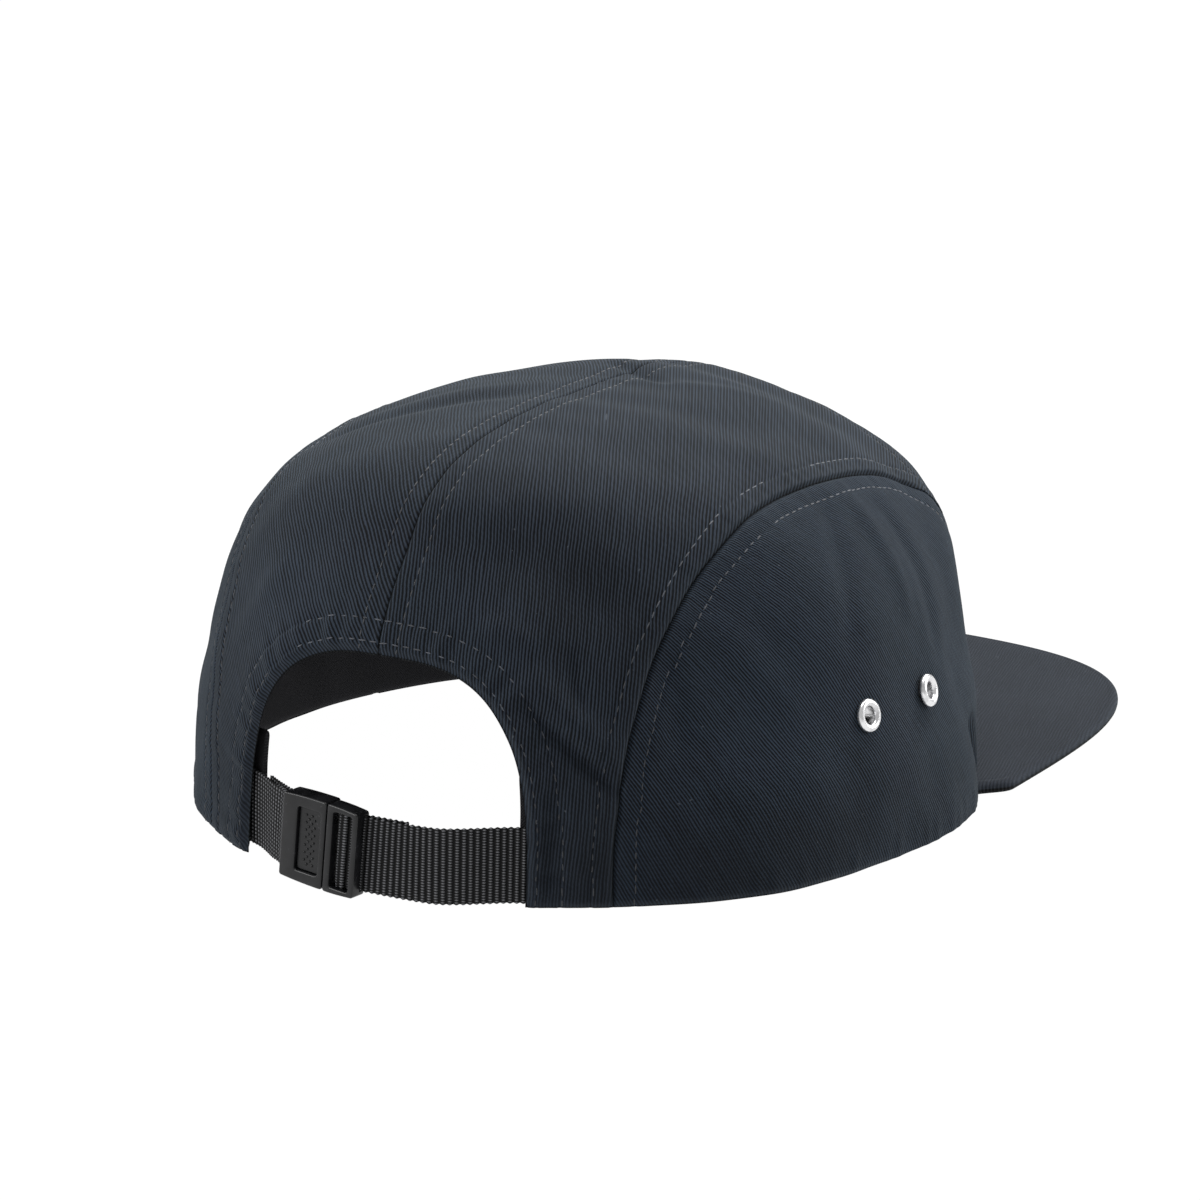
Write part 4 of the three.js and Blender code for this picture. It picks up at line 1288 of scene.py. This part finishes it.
def eyelet_section():
    """Radius and height of each point of the ring, from its lip round to the washer."""
    bore, outside = EYELET_BORE / 2, EYELET_OUTSIDE / 2
    barrel = bore + EYELET_WALL
    back = -CLOTH - 2 * GAP
    end = back - WASHER_THICKNESS
    face = 0.1
    lip = [
        (
            (bore + outside) / 2 - (outside - bore) / 2 * math.cos(angle),
            face + 0.25 + EYELET_RIM * math.sin(angle) ** 0.8,
        )
        for angle in np.linspace(0, math.pi, 13)
    ]
    washer = barrel + WASHER_WIDTH
    back_points = [(outside - 0.3, face - 0.15), (barrel, face - 0.15), (barrel, back)]
    back_points += [(washer - 0.2, back), (washer, back - 0.2), (washer, end + 0.2)]
    back_points += [(washer - 0.2, end), (bore + 0.2, end), (bore, end + 0.2)]
    return lip + back_points


def make_eyelet(name, at, axis, material):
    bm = bmesh.new()
    verts = [bm.verts.new((radius, 0, height)) for radius, height in eyelet_section()]
    edges = [bm.edges.new((a, b)) for a, b in zip(verts, verts[1:] + verts[:1])]
    bmesh.ops.spin(
        bm,
        geom=verts + edges,
        axis=(0, 0, 1),
        cent=(0, 0, 0),
        angle=2 * math.pi,
        steps=RING_STEPS,
        use_merge=True,
    )
    bmesh.ops.remove_doubles(bm, verts=bm.verts, dist=0.001)
    turn = Vector((0, 0, 1)).rotation_difference(Vector(axis)).to_matrix().to_4x4()
    set_down(bm, turn, at)
    hand_over(link_piece(name + "_ring", bm, material, sharp=40), name)


nickel = nickel_finish()
for eyelet_name, (side, at, axis) in EYELETS.items():
    make_eyelet(eyelet_name, at, axis, nickel)
print("all eyelets are pressed in")

# %% [markdown]
# ## Strap
# The strap is a narrow woven band that follows a line in plan. It starts inside the crown wall,
# bulges out across the opening, goes round a bar of the buckle and lies back on itself. Webbing
# shows as upright ribs with small beads, the turns of its weft. The ribs are real relief here,
# so that the edges of the strap are scalloped too, and the beads are in the finish, raised by a
# bump and painted pale as highlights on the black strap.

# %% Strap line
WEBBING_BULGE = 5.5
WEBBING_FOLD = 9.0
LAYER = WEBBING_THICKNESS + 0.35
BUCKLE_LENGTH = 20.4
BUCKLE_PLACE = 8.2
BUCKLE_HANG = math.radians(4.5)
BUCKLE_DROP = 0.1
STRAP_SAG = 1.3
SOCKET_LENGTH = 11.8
BAR_RADIUS = 0.7
BAR_OUT = -0.2
PASS_OUT = -0.67
PLUG_FRAME = 1.4
PLUG_INNER_FRAME = 1.6
TURN_RADIUS = BAR_RADIUS + GAP + WEBBING_THICKNESS / 2
HALF_BUCKLE = BUCKLE_LENGTH / 2
SPLIT = HALF_BUCKLE - SOCKET_LENGTH
BAR_ROOM = BAR_RADIUS + WEBBING_THICKNESS + 2 * GAP
PLUG_WINDOW_END = SPLIT - GAP - PLUG_INNER_FRAME
PLUG_BAR = PLUG_WINDOW_END - BAR_ROOM
PLUG_WINDOW_START = -HALF_BUCKLE + PLUG_FRAME
SOCKET_BAR = HALF_BUCKLE - BAR_RADIUS
SOCKET_SLOT = SOCKET_BAR - BAR_ROOM
TAIL_X = OPENING_WIDTH / 2 + WEBBING_TAIL
TURN_ANGLES = np.radians(np.linspace(130, -90, 9))
PLAN_STEP = 4
LINE_STEP = 0.2
SPLINE_STEPS = 16


def strap_plan(x):
    x = np.asarray(x, float)
    edge = OPENING_WIDTH / 2
    bulge = WEBBING_BULGE * (1 - ease(np.abs(x), 0.5 * edge, 0.95 * edge))
    inset = CLOTH + GAP + WEBBING_THICKNESS / 2
    return np.stack([x, reach_at(x, STRAP_TOP, inset) + bulge], -1)


buckle_centre = strap_plan(BUCKLE_PLACE)
buckle_along = unit(strap_plan(BUCKLE_PLACE + 1) - strap_plan(BUCKLE_PLACE - 1))
buckle_out = np.array([-buckle_along[1], buckle_along[0]])


def on_buckle(along, out):
    return buckle_centre + buckle_along * along + buckle_out * out


def turn_round(bar, toward):
    return [
        on_buckle(bar + toward * TURN_RADIUS * math.cos(a), BAR_OUT + TURN_RADIUS * math.sin(a))
        for a in TURN_ANGLES
    ]


def strap_stretch(start, end, inward):
    points = []
    for x in np.linspace(start, end, max(2, round(abs(end - start) / PLAN_STEP)) + 1):
        slope = unit(strap_plan(x + 0.5) - strap_plan(x - 0.5))
        points.append(strap_plan(x) + np.array([slope[1], -slope[0]]) * inward)
    return points


def smooth_through(points):
    """Points on a smooth line through the given ones, as close as the ribs need."""
    points = np.array(points)
    padded = np.concatenate([[2 * points[0] - points[1]], points, [2 * points[-1] - points[-2]]])
    t = np.linspace(0, 1, SPLINE_STEPS, endpoint=False)[:, None]
    parts = []
    for a, b, c, d in zip(padded, padded[1:], padded[2:], padded[3:]):
        part = 2 * b + (c - a) * t + (2 * a - 5 * b + 4 * c - d) * t**2
        parts.append(0.5 * (part + (3 * b - a - 3 * c + d) * t**3))
    line = np.concatenate([*parts, points[-1:]])
    return at_shares(line, np.linspace(0, 1, int(line_length(line) / LINE_STEP)))


plug_end_x = on_buckle(-HALF_BUCKLE - 1, 0)[0]
socket_end_x = on_buckle(HALF_BUCKLE + 3, 0)[0]
LONG_LINE = smooth_through([
    *strap_stretch(-TAIL_X, plug_end_x, 0),
    on_buckle(PLUG_WINDOW_START, PASS_OUT),
    *turn_round(PLUG_BAR, 1),
    *strap_stretch(plug_end_x + 1, plug_end_x - WEBBING_FOLD, LAYER),
])
SHORT_LINE = smooth_through([
    *strap_stretch(TAIL_X, socket_end_x, 0),
    *turn_round(SOCKET_BAR, -1),
    *strap_stretch(socket_end_x, OPENING_WIDTH / 2 - BAND_OVERRUN - 2, LAYER),
])
print("strap lines", round(line_length(LONG_LINE)), round(line_length(SHORT_LINE)), "mm")

# %% Strap
RIB = 1.45
BEAD = 0.62
SQUARE_BEAD = 0.88
SECTION_POINTS = 97
SECTION_SQUARE = 0.22
RIB_DEPTH = 0.17
SCALLOP = 0.030
ROUND_END = 0.6


def webbing_finish(name, bead_width, stagger):
    recipe = Recipe(name, Roughness=0.6, Specular_IOR_Level=0.15)
    cloth, along, across, _ = recipe.attribute("cloth")
    ribs = along / RIB
    rib = ribs.wave()
    bead = (across / bead_width + (ribs + 0.5).floor() * stagger).wave()
    yarn = recipe.noise(cloth, 2.2, 2.0, 0.6)
    clouds = recipe.noise(cloth, 0.15, 2.0)
    dots = rib * bead
    tone = dots * (0.55 + yarn * 0.5) + rib * 0.15 + clouds * 0.1
    # painted highlight: the beads of the weave are pale in colour on the black webbing
    dark, pale = (0.0010, 0.0010, 0.0013, 1), (0.165, 0.168, 0.178, 1)
    colour = recipe.mix(tone.between(0.10, 1.15), dark, pale)
    height = rib * 0.5 + dots * 0.8 + yarn * 0.2
    return recipe.finish(colour, 0.55 + yarn * 0.25, height, distance=0.00035)


def strap_hang(points):
    """How far places of the strap's line hang down, and how far they lean with the buckle."""
    along = (points - buckle_centre) @ buckle_along
    held = ease(along, HALF_BUCKLE + 14, HALF_BUCKLE)
    free = ease(-along, HALF_BUCKLE, HALF_BUCKLE + 18)
    tilted = np.clip(along, -HALF_BUCKLE, HALF_BUCKLE) * math.tan(BUCKLE_HANG)
    drop = (BUCKLE_DROP - tilted) * held * (1 - free) + STRAP_SAG * free
    return drop, -math.sin(BUCKLE_HANG) * held * (1 - free)


def strap_piece(name, line, material):
    """A band swept along its line: one grid, wrapped round the section and closed at its ends."""
    tangent = unit(np.gradient(line, axis=0))
    outward = np.stack([-tangent[:, 1], tangent[:, 0]], -1)
    along = lengths_along(line)
    turn = np.linspace(0, 2 * np.pi, SECTION_POINTS)
    flat = WEBBING_WIDTH / 2 - WEBBING_THICKNESS / 2
    face = bend(np.sin(turn), SECTION_SQUARE)
    height = (flat + 0.45) * bend(np.cos(turn), 0.75)
    rib = 0.5 + 0.5 * np.cos(2 * np.pi * along / RIB)
    thick = WEBBING_THICKNESS / 2 - 0.05 + RIB_DEPTH * (rib**0.7 - 0.5)
    ends = np.minimum(along, along[-1] - along)
    thick = thick * np.sqrt(np.clip(ends / ROUND_END, 0.02, 1))
    tall = 1 + SCALLOP * (rib - 0.5)
    out = thick[None, :] * face[:, None]
    drop, lean = strap_hang(line)
    z = STRAP_MIDDLE - drop[None, :] + height[:, None] * tall[None, :]
    rows, columns = out.shape
    bm = bmesh.new()
    layer = bm.verts.layers.float_vector.new("cloth")
    for vert, i, j in add_grid(bm, columns, rows):
        x, y = line[i] + outward[i] * out[j, i] + buckle_along * lean[i] * height[j]
        vert[layer] = (along[i], z[j, i], 0)
        vert.co = in_metres((x, y, z[j, i]))
    bmesh.ops.remove_doubles(bm, verts=bm.verts, dist=1e-7)
    bmesh.ops.holes_fill(bm, edges=[e for e in bm.edges if e.is_boundary], sides=0)
    bmesh.ops.recalc_face_normals(bm, faces=bm.faces)
    hand_over(link_piece(name + "_webbing", bm, material, sharp=70), name)


strap_piece("strap_long", LONG_LINE, webbing_finish("webbing", BEAD, 0.5))
strap_piece("strap_short", SHORT_LINE, webbing_finish("webbing_square", SQUARE_BEAD, 0.0))

# %% [markdown]
# ## Buckle
# Both halves of the buckle are flat plates with square openings. A plate starts as a grid whose
# lines lie where its openings and edges are. The cells of the openings are deleted and the rest
# is extruded. A moulding is a few such layers, flush with each other, and the bevel operator
# rounds the corners and then every edge that shows.

# %% Buckle
BUCKLE_THICKNESS = 5.2
SOCKET_TAPER = 0.9
SOCKET_FRAME = 1.4
PLUG_TAPER = 0.8
WINDOW_LENGTH = 6.4
WINDOW_HEIGHT = 14.6
TONGUE_FACE = 1.0
BUTTON_RECESS = 0.9
BUTTON_GAP = 0.28
DOT_COLUMNS = 4
DOT_ROWS = 7
DOT_PITCH = (0.78, 1.72)
DOT_SHIFT = 0.43
DOT_SHAPE = (0.32, 0.30, 0.32, 1)
CORNER = 0.7
OUTER_CORNER = 0.6
EDGE_ROUND = 0.32
BOW = 0.3
FACE = BUCKLE_THICKNESS / 2
STRAP_ROOM = WEBBING_WIDTH + 0.3
WINDOW_START = SPLIT + SOCKET_FRAME
WINDOW_END = WINDOW_START + WINDOW_LENGTH
buckle_turn = Matrix.Rotation(math.atan2(buckle_along[1], buckle_along[0]), 4, "Z")


def plastic_finish():
    recipe = Recipe("black_plastic", Roughness=0.38, Specular_IOR_Level=0.35)
    place = recipe.place()
    grain = recipe.noise(place, 2600, 2.0, 0.5)
    smears = recipe.noise(place, 160, 3.0, 0.6)
    dust = recipe.noise(place, 1500, 1.0, 0.5).between(0.70, 0.74)
    dark, pale = (0.0035, 0.0036, 0.0042, 1), (0.0080, 0.0082, 0.0095, 1)
    colour = recipe.mix(smears.between(0.3, 0.75), dark, pale)
    colour = recipe.mix(dust * 0.2, colour, (0.10, 0.10, 0.11, 1))
    return recipe.finish(colour, 0.20 + smears * 0.2, grain, distance=0.00002, strength=0.5)


def plate_grid(bm, lines_x, lines_z, lost):
    """A flat plate in the buckle's own frame, standing upright, with some cells left out."""
    grid = add_grid(bm, len(lines_x), len(lines_z))
    for vert, i, j in grid:
        vert.co = (lines_x[i], 0, lines_z[j])
    faces = list({f for vert, _, _ in grid for f in vert.link_faces})
    gone = [f for f in faces if lost(f.calc_center_median())]
    bmesh.ops.delete(bm, geom=gone, context="FACES")
    return [f for f in faces if f.is_valid]


def thickened(bm, faces, front, back):
    """Extrudes a plate's faces from one side to the other, and returns its vertices."""
    verts = list({v for f in faces for v in f.verts})
    bmesh.ops.translate(bm, verts=verts, vec=(0, back, 0))
    made = bmesh.ops.extrude_face_region(bm, geom=faces, use_keep_orig=True)
    moved = [g for g in made["geom"] if isinstance(g, bmesh.types.BMVert)]
    bmesh.ops.translate(bm, verts=moved, vec=(0, front - back, 0))
    return verts + moved


def crowned(verts, start, end, at_start, at_end):
    """Bows the plate's top and bottom edges from one height at its start to one at its end."""
    for vert in verts:
        s = min(max((vert.co.x - start) / (end - start), 0), 1)
        height = at_start + (at_end - at_start) * s + 4 * s * (1 - s) * BOW
        if abs(vert.co.z) > BUCKLE_HEIGHT / 2 - 0.01:
            vert.co.z = math.copysign(height / 2, vert.co.z)


def bevel_where(bm, chosen, offset, segments):
    """Rounds the sharp edges that are chosen."""
    sharp = [e for e in bm.edges if len(e.link_faces) == 2 and e.calc_face_angle(0) > 0.7]
    edges = [e for e in sharp if chosen(e.verts[0].co, e.verts[1].co)]
    shape = {"affect": "EDGES", "profile": 0.5, "material": -1}
    bmesh.ops.bevel(bm, geom=edges, offset=offset, segments=segments, **shape)


def layer_of(grid, lost, front, back, hidden, taper):
    """One layer of a moulding: its corners are rounded, then its edges but for hidden ones."""
    bm = bmesh.new()
    verts = thickened(bm, plate_grid(bm, *grid, lost), front, back)
    crowned(verts, *taper)
    bmesh.ops.recalc_face_normals(bm, faces=bm.faces)
    low, high = min(taper[:2]), max(taper[:2])

    def window_corner(a, b):
        inside = low + 0.5 < a.x < high - 0.5 and abs(a.z) < BUCKLE_HEIGHT / 2 - 0.8
        return inside and abs(a.y - b.y) > 0.1

    def outer_corner(a, b):
        return abs(a.y - b.y) > 0.1 and abs(a.z) > BUCKLE_HEIGHT / 2 - 1.2

    bevel_where(bm, window_corner, CORNER, 4)
    bevel_where(bm, outer_corner, OUTER_CORNER, 4)

    def shown(a, b):
        flush = any(abs(a.y - y) < 1e-4 and abs(b.y - y) < 1e-4 for y in hidden)
        return not flush and abs(a.y - b.y) < 0.05

    bevel_where(bm, shown, EDGE_ROUND, 3)
    mesh = bpy.data.meshes.new("layer")
    bm.to_mesh(mesh)
    bm.free()
    return mesh


def bar_at(bm, along):
    rod = bmesh.ops.create_cone(
        bm, segments=20, radius1=BAR_RADIUS, radius2=BAR_RADIUS, depth=BUCKLE_HEIGHT - 1.6
    )
    bmesh.ops.translate(bm, vec=(along, BAR_OUT, 0), verts=rod["verts"])


def lines_between(*places):
    """Grid lines at the given places, with some between them so that the edges can bow."""
    lines = []
    for a, b in zip(places, places[1:]):
        lines += list(np.linspace(a, b, max(1, round((b - a) / 2.2)) + 1)[:-1])
    return lines + [places[-1]]


def finish_buckle(name, layers, bm, material):
    for mesh in layers:
        bm.from_mesh(mesh)
        bpy.data.meshes.remove(mesh)
    hang = Matrix.Rotation(-BUCKLE_HANG, 4, "Y")
    set_down(bm, buckle_turn @ hang, (*buckle_centre, STRAP_MIDDLE - BUCKLE_DROP))
    hand_over(link_piece(name + "_moulding", bm, material, sharp=32), name)


def make_socket(material):
    half_room, half_window = STRAP_ROOM / 2, WINDOW_HEIGHT / 2
    half = BUCKLE_HEIGHT / 2
    grid = (
        lines_between(SPLIT, WINDOW_START, WINDOW_END, SOCKET_SLOT, HALF_BUCKLE),
        [-half, -half_room, -half_window, half_window, half_room, half],
    )

    def window(c):
        return WINDOW_START < c.x < WINDOW_END and abs(c.z) < half_window

    def slot(c):
        return c.x > SOCKET_SLOT and abs(c.z) < half_room

    taper = (SPLIT, HALF_BUCKLE, BUCKLE_HEIGHT, BUCKLE_HEIGHT - SOCKET_TAPER)
    lip, floor = FACE - 0.6, 0.5
    layers = [
        layer_of(grid, window, FACE, lip, (lip,), taper),
        layer_of(grid, lambda c: window(c) or slot(c), lip, floor, (lip, floor), taper),
        layer_of(grid, slot, floor, -FACE, (floor,), taper),
    ]
    bm = bmesh.new()
    bar_at(bm, SOCKET_BAR)
    finish_buckle("buckle_socket", layers, bm, material)


def make_plug(material):
    half_room = STRAP_ROOM / 2
    end = SPLIT - GAP
    half = BUCKLE_HEIGHT / 2
    grid = (
        lines_between(-HALF_BUCKLE, PLUG_WINDOW_START, PLUG_WINDOW_END, end),
        [-half, -half_room, half_room, half],
    )

    def window(c):
        return PLUG_WINDOW_START < c.x < PLUG_WINDOW_END and abs(c.z) < half_room

    def strap_way(c):
        return c.x < PLUG_WINDOW_END and abs(c.z) < half_room

    taper = (-HALF_BUCKLE, end, BUCKLE_HEIGHT - PLUG_TAPER, BUCKLE_HEIGHT)
    level = PASS_OUT + WEBBING_THICKNESS / 2 + GAP
    layers = [
        layer_of(grid, window, FACE, level, (level,), taper),
        layer_of(grid, strap_way, level, 0.9 - FACE, (level,), taper),
    ]
    bm = bmesh.new()
    bar_at(bm, PLUG_BAR)
    half_button = WINDOW_HEIGHT / 2 - BUTTON_GAP
    button_x = (WINDOW_START + BUTTON_GAP, WINDOW_END - BUTTON_GAP)
    button = plate_grid(bm, button_x, (-half_button, half_button), lambda centre: False)
    thickened(bm, button, FACE - BUTTON_RECESS, TONGUE_FACE - 0.5)
    raised_dots(bm)
    finish_buckle("buckle_plug", layers, bm, material)


def raised_dots(bm):
    """Small domes in staggered columns, which give the thumb a grip on the button."""
    middle = (WINDOW_START + WINDOW_END) / 2
    for column in range(DOT_COLUMNS):
        for row in range(DOT_ROWS):
            shift = DOT_SHIFT if column % 2 else -DOT_SHIFT
            x = middle + (column - (DOT_COLUMNS - 1) / 2) * DOT_PITCH[0]
            z = (row - (DOT_ROWS - 1) / 2) * DOT_PITCH[1] + shift
            place = Matrix.Translation((x, FACE - BUTTON_RECESS, z)) @ Matrix.Diagonal(DOT_SHAPE)
            bmesh.ops.create_icosphere(bm, subdivisions=2, radius=1, matrix=place)


plastic = plastic_finish()
make_socket(plastic)
make_plug(plastic)
print("buckle made")

# %% [markdown]
# ## Stitches
# Each row of top stitching is set along a seam, at its distance from it. The places are found on
# the finished cloth with a ray tree, so the thread sits in the dip that it pulls. A stitch is one
# small bead of thread, stretched along its row, and the rows are joined in one piece.

# %% Stitches
STITCH_LENGTH = 1.95
THREAD = 0.34
CLEAR_OF_OTHER_SEAMS = 1.2
CLEAR_OF_CLOTH = 0.003
# kind: share that shows low down, height in the middle of the change, share that shows above
STITCH_SHOWS = {
    "lap": (0.10, 66, 0.48),
    "under": (0.08, 62, 0.55),
    "plain": (0.05, 90, 0.12),
    "opening": (0.10, 34, 0.40),
}


def thread_finish():
    recipe = Recipe("thread", Roughness=0.6, Sheen_Weight=0.2)
    place = recipe.place()
    _, shown, _, _ = recipe.attribute("shows")
    shade = recipe.noise(place, 260, 2.0, 0.6)
    strand = recipe.noise(place, 3200, 2.0, 0.6)
    tone = shown * (0.7 + shade * 0.6)
    colour = recipe.mix(tone.between(0.0, 1.2), (0.007, 0.009, 0.013, 1), (0.080, 0.092, 0.120, 1))
    return recipe.finish(colour, 0.55 + strand * 0.2, strand, distance=0.00005)


def row_places(tree, row, bvh):
    """Places of one row on the panel's own side of a seam, each with its tangent and the hit."""
    count = int(line_length(tree.line) / STITCH_PITCH)
    spots = at_shares(tree.line, (np.arange(count) + 0.5) / count)
    tangents = unit(np.gradient(spots, axis=0))
    inward = unit(np.cross(crown_normals(spots), tangents))
    sides = []
    for sign in (-1, 1):
        places = onto_crown(spots + inward * sign * row)
        hits = [bvh.find_nearest(Vector(in_metres(place))) for place in places]
        sides.append((np.median([hit[3] for hit in hits]), places, hits))
    _, places, hits = min(sides, key=lambda side: side[0])
    return zip(places, tangents, hits)


def row_of_stitches(bm, tree, row, bvh, others, jitter):
    """Adds the stitches of one row of one panel."""
    shows = bm.verts.layers.float_vector["shows"]
    made = 0
    for place, tangent, (location, facing, _, gap) in row_places(tree, row, bvh):
        crossing = any(other.tree.find(place)[2] < CLEAR_OF_OTHER_SEAMS for other in others)
        if gap > CLEAR_OF_CLOTH or crossing or abs(tree.tree.find(place)[2] - row) > 0.5:
            continue
        along = Vector(tangent).normalized()
        up = (facing - along * facing.dot(along)).normalized()
        along = (along + up.cross(along) * jitter.normal(0, 0.05)).normalized()
        side = up.cross(along)
        turn = Matrix((along, side, up)).transposed().to_4x4()
        shown = stitch_shows(tree.kind, place) * jitter.uniform(0.6, 1.15)
        length = STITCH_LENGTH * jitter.uniform(0.88, 1.06) / 2
        shape = Matrix.Diagonal((length, THREAD / 2, THREAD * 0.34, 1))
        move = Matrix.Translation(location / MM + up * (0.09 * min(shown, 1) - 0.04))
        bead = bmesh.ops.create_uvsphere(
            bm, u_segments=8, v_segments=6, radius=1, matrix=move @ turn @ shape
        )
        for vert in bead["verts"]:
            vert[shows] = (shown, 0, 0)
        made += 1
    return made


def stitch_shows(kind, place):
    """How much of a row is to be seen. Its thread is darker and sits lower low down and in places.
    """
    x, y, z = place
    low, high, top = STITCH_SHOWS[kind]
    slow = 0.22 * math.sin(z / 7.3 + 0.4 * x) + 0.16 * math.sin(y / 5.1 + 1.3)
    return max(0.05, low + (top - low) * float(ease(z, high - 18, high + 18)) + slow * top)


def make_stitches(material):
    jitter = np.random.default_rng(11)
    for node, piece in cloth_pieces.items():
        bm_panel = bmesh.new()
        bm_panel.from_mesh(piece.data)
        bvh = BVHTree.FromBMesh(bm_panel)
        bm_panel.free()
        trees = border_trees[node]
        bm = bmesh.new()
        bm.verts.layers.float_vector.new("shows")
        made = 0
        for tree in trees:
            others = [other for other in trees if other is not tree]
            for row in EDGES[tree.kind][3]:
                made += row_of_stitches(bm, tree, row, bvh, others, jitter)
        if not made:
            bm.free()
            continue
        bmesh.ops.scale(bm, vec=(MM, MM, MM), verts=bm.verts)
        stitches = link_piece(node + "_stitches", bm, material)
        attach(stitches, "root")
        print(node, "has", made, "stitches")


make_stitches(thread_finish())

# %% [markdown]
# ## Floor and light
# The photograph is lit softly from above against white. A wide pale floor and five large area
# lights give the same, and the world's pale grey fills the shadows.

# %% Floor and light
LIGHT_AIM = Vector((0, 0, 0.05))
LIGHT_SIZE = 0.9
# name, place in metres and power in watts
LIGHTS = [
    ("light_above", (0.0, 0.0, 1.6), 11),
    ("light_above_front", (0.0, -1.0, 1.3), 27),
    ("light_front_right", (-1.3, -1.1, 0.7), 21),
    ("light_back_left", (1.0, 1.3, 0.7), 16),
    ("light_left", (1.6, 0.2, 0.6), 7),
]
WORLD_GREY = 0.575
FLOOR_RADIUS = 40
FLOOR_DROP = 0.0002


def soft_light(name, place, power):
    data = bpy.data.lights.new(name, "AREA")
    data.shape = "DISK"
    data.size = LIGHT_SIZE
    data.energy = power
    light = bpy.data.objects.new(name, data)
    direction = LIGHT_AIM - Vector(place)
    light.location = place
    light.rotation_euler = direction.to_track_quat("-Z", "Y").to_euler()
    bpy.context.scene.collection.objects.link(light)


def make_floor():
    recipe = Recipe(
        "floor_white",
        Roughness=0.9,
        Emission_Strength=1.0,
        Base_Color=(0.02, 0.02, 0.02, 1),
        Emission_Color=(1, 1, 1, 1),
        Specular_IOR_Level=0.0,
    )
    bm = bmesh.new()
    bmesh.ops.create_circle(bm, cap_ends=True, segments=64, radius=FLOOR_RADIUS)
    bmesh.ops.translate(bm, verts=bm.verts, vec=(0, 0, -FLOOR_DROP))
    link_piece("floor", bm, recipe.material)


make_floor()
for light in LIGHTS:
    soft_light(*light)

world = bpy.data.worlds.new("studio")
world.use_nodes = True
background = world.node_tree.nodes["Background"]
background.inputs["Color"].default_value = (1, 1, 1, 1)
background.inputs["Strength"].default_value = WORLD_GREY
bpy.context.scene.world = world
bpy.context.scene.view_settings.view_transform = "Standard"
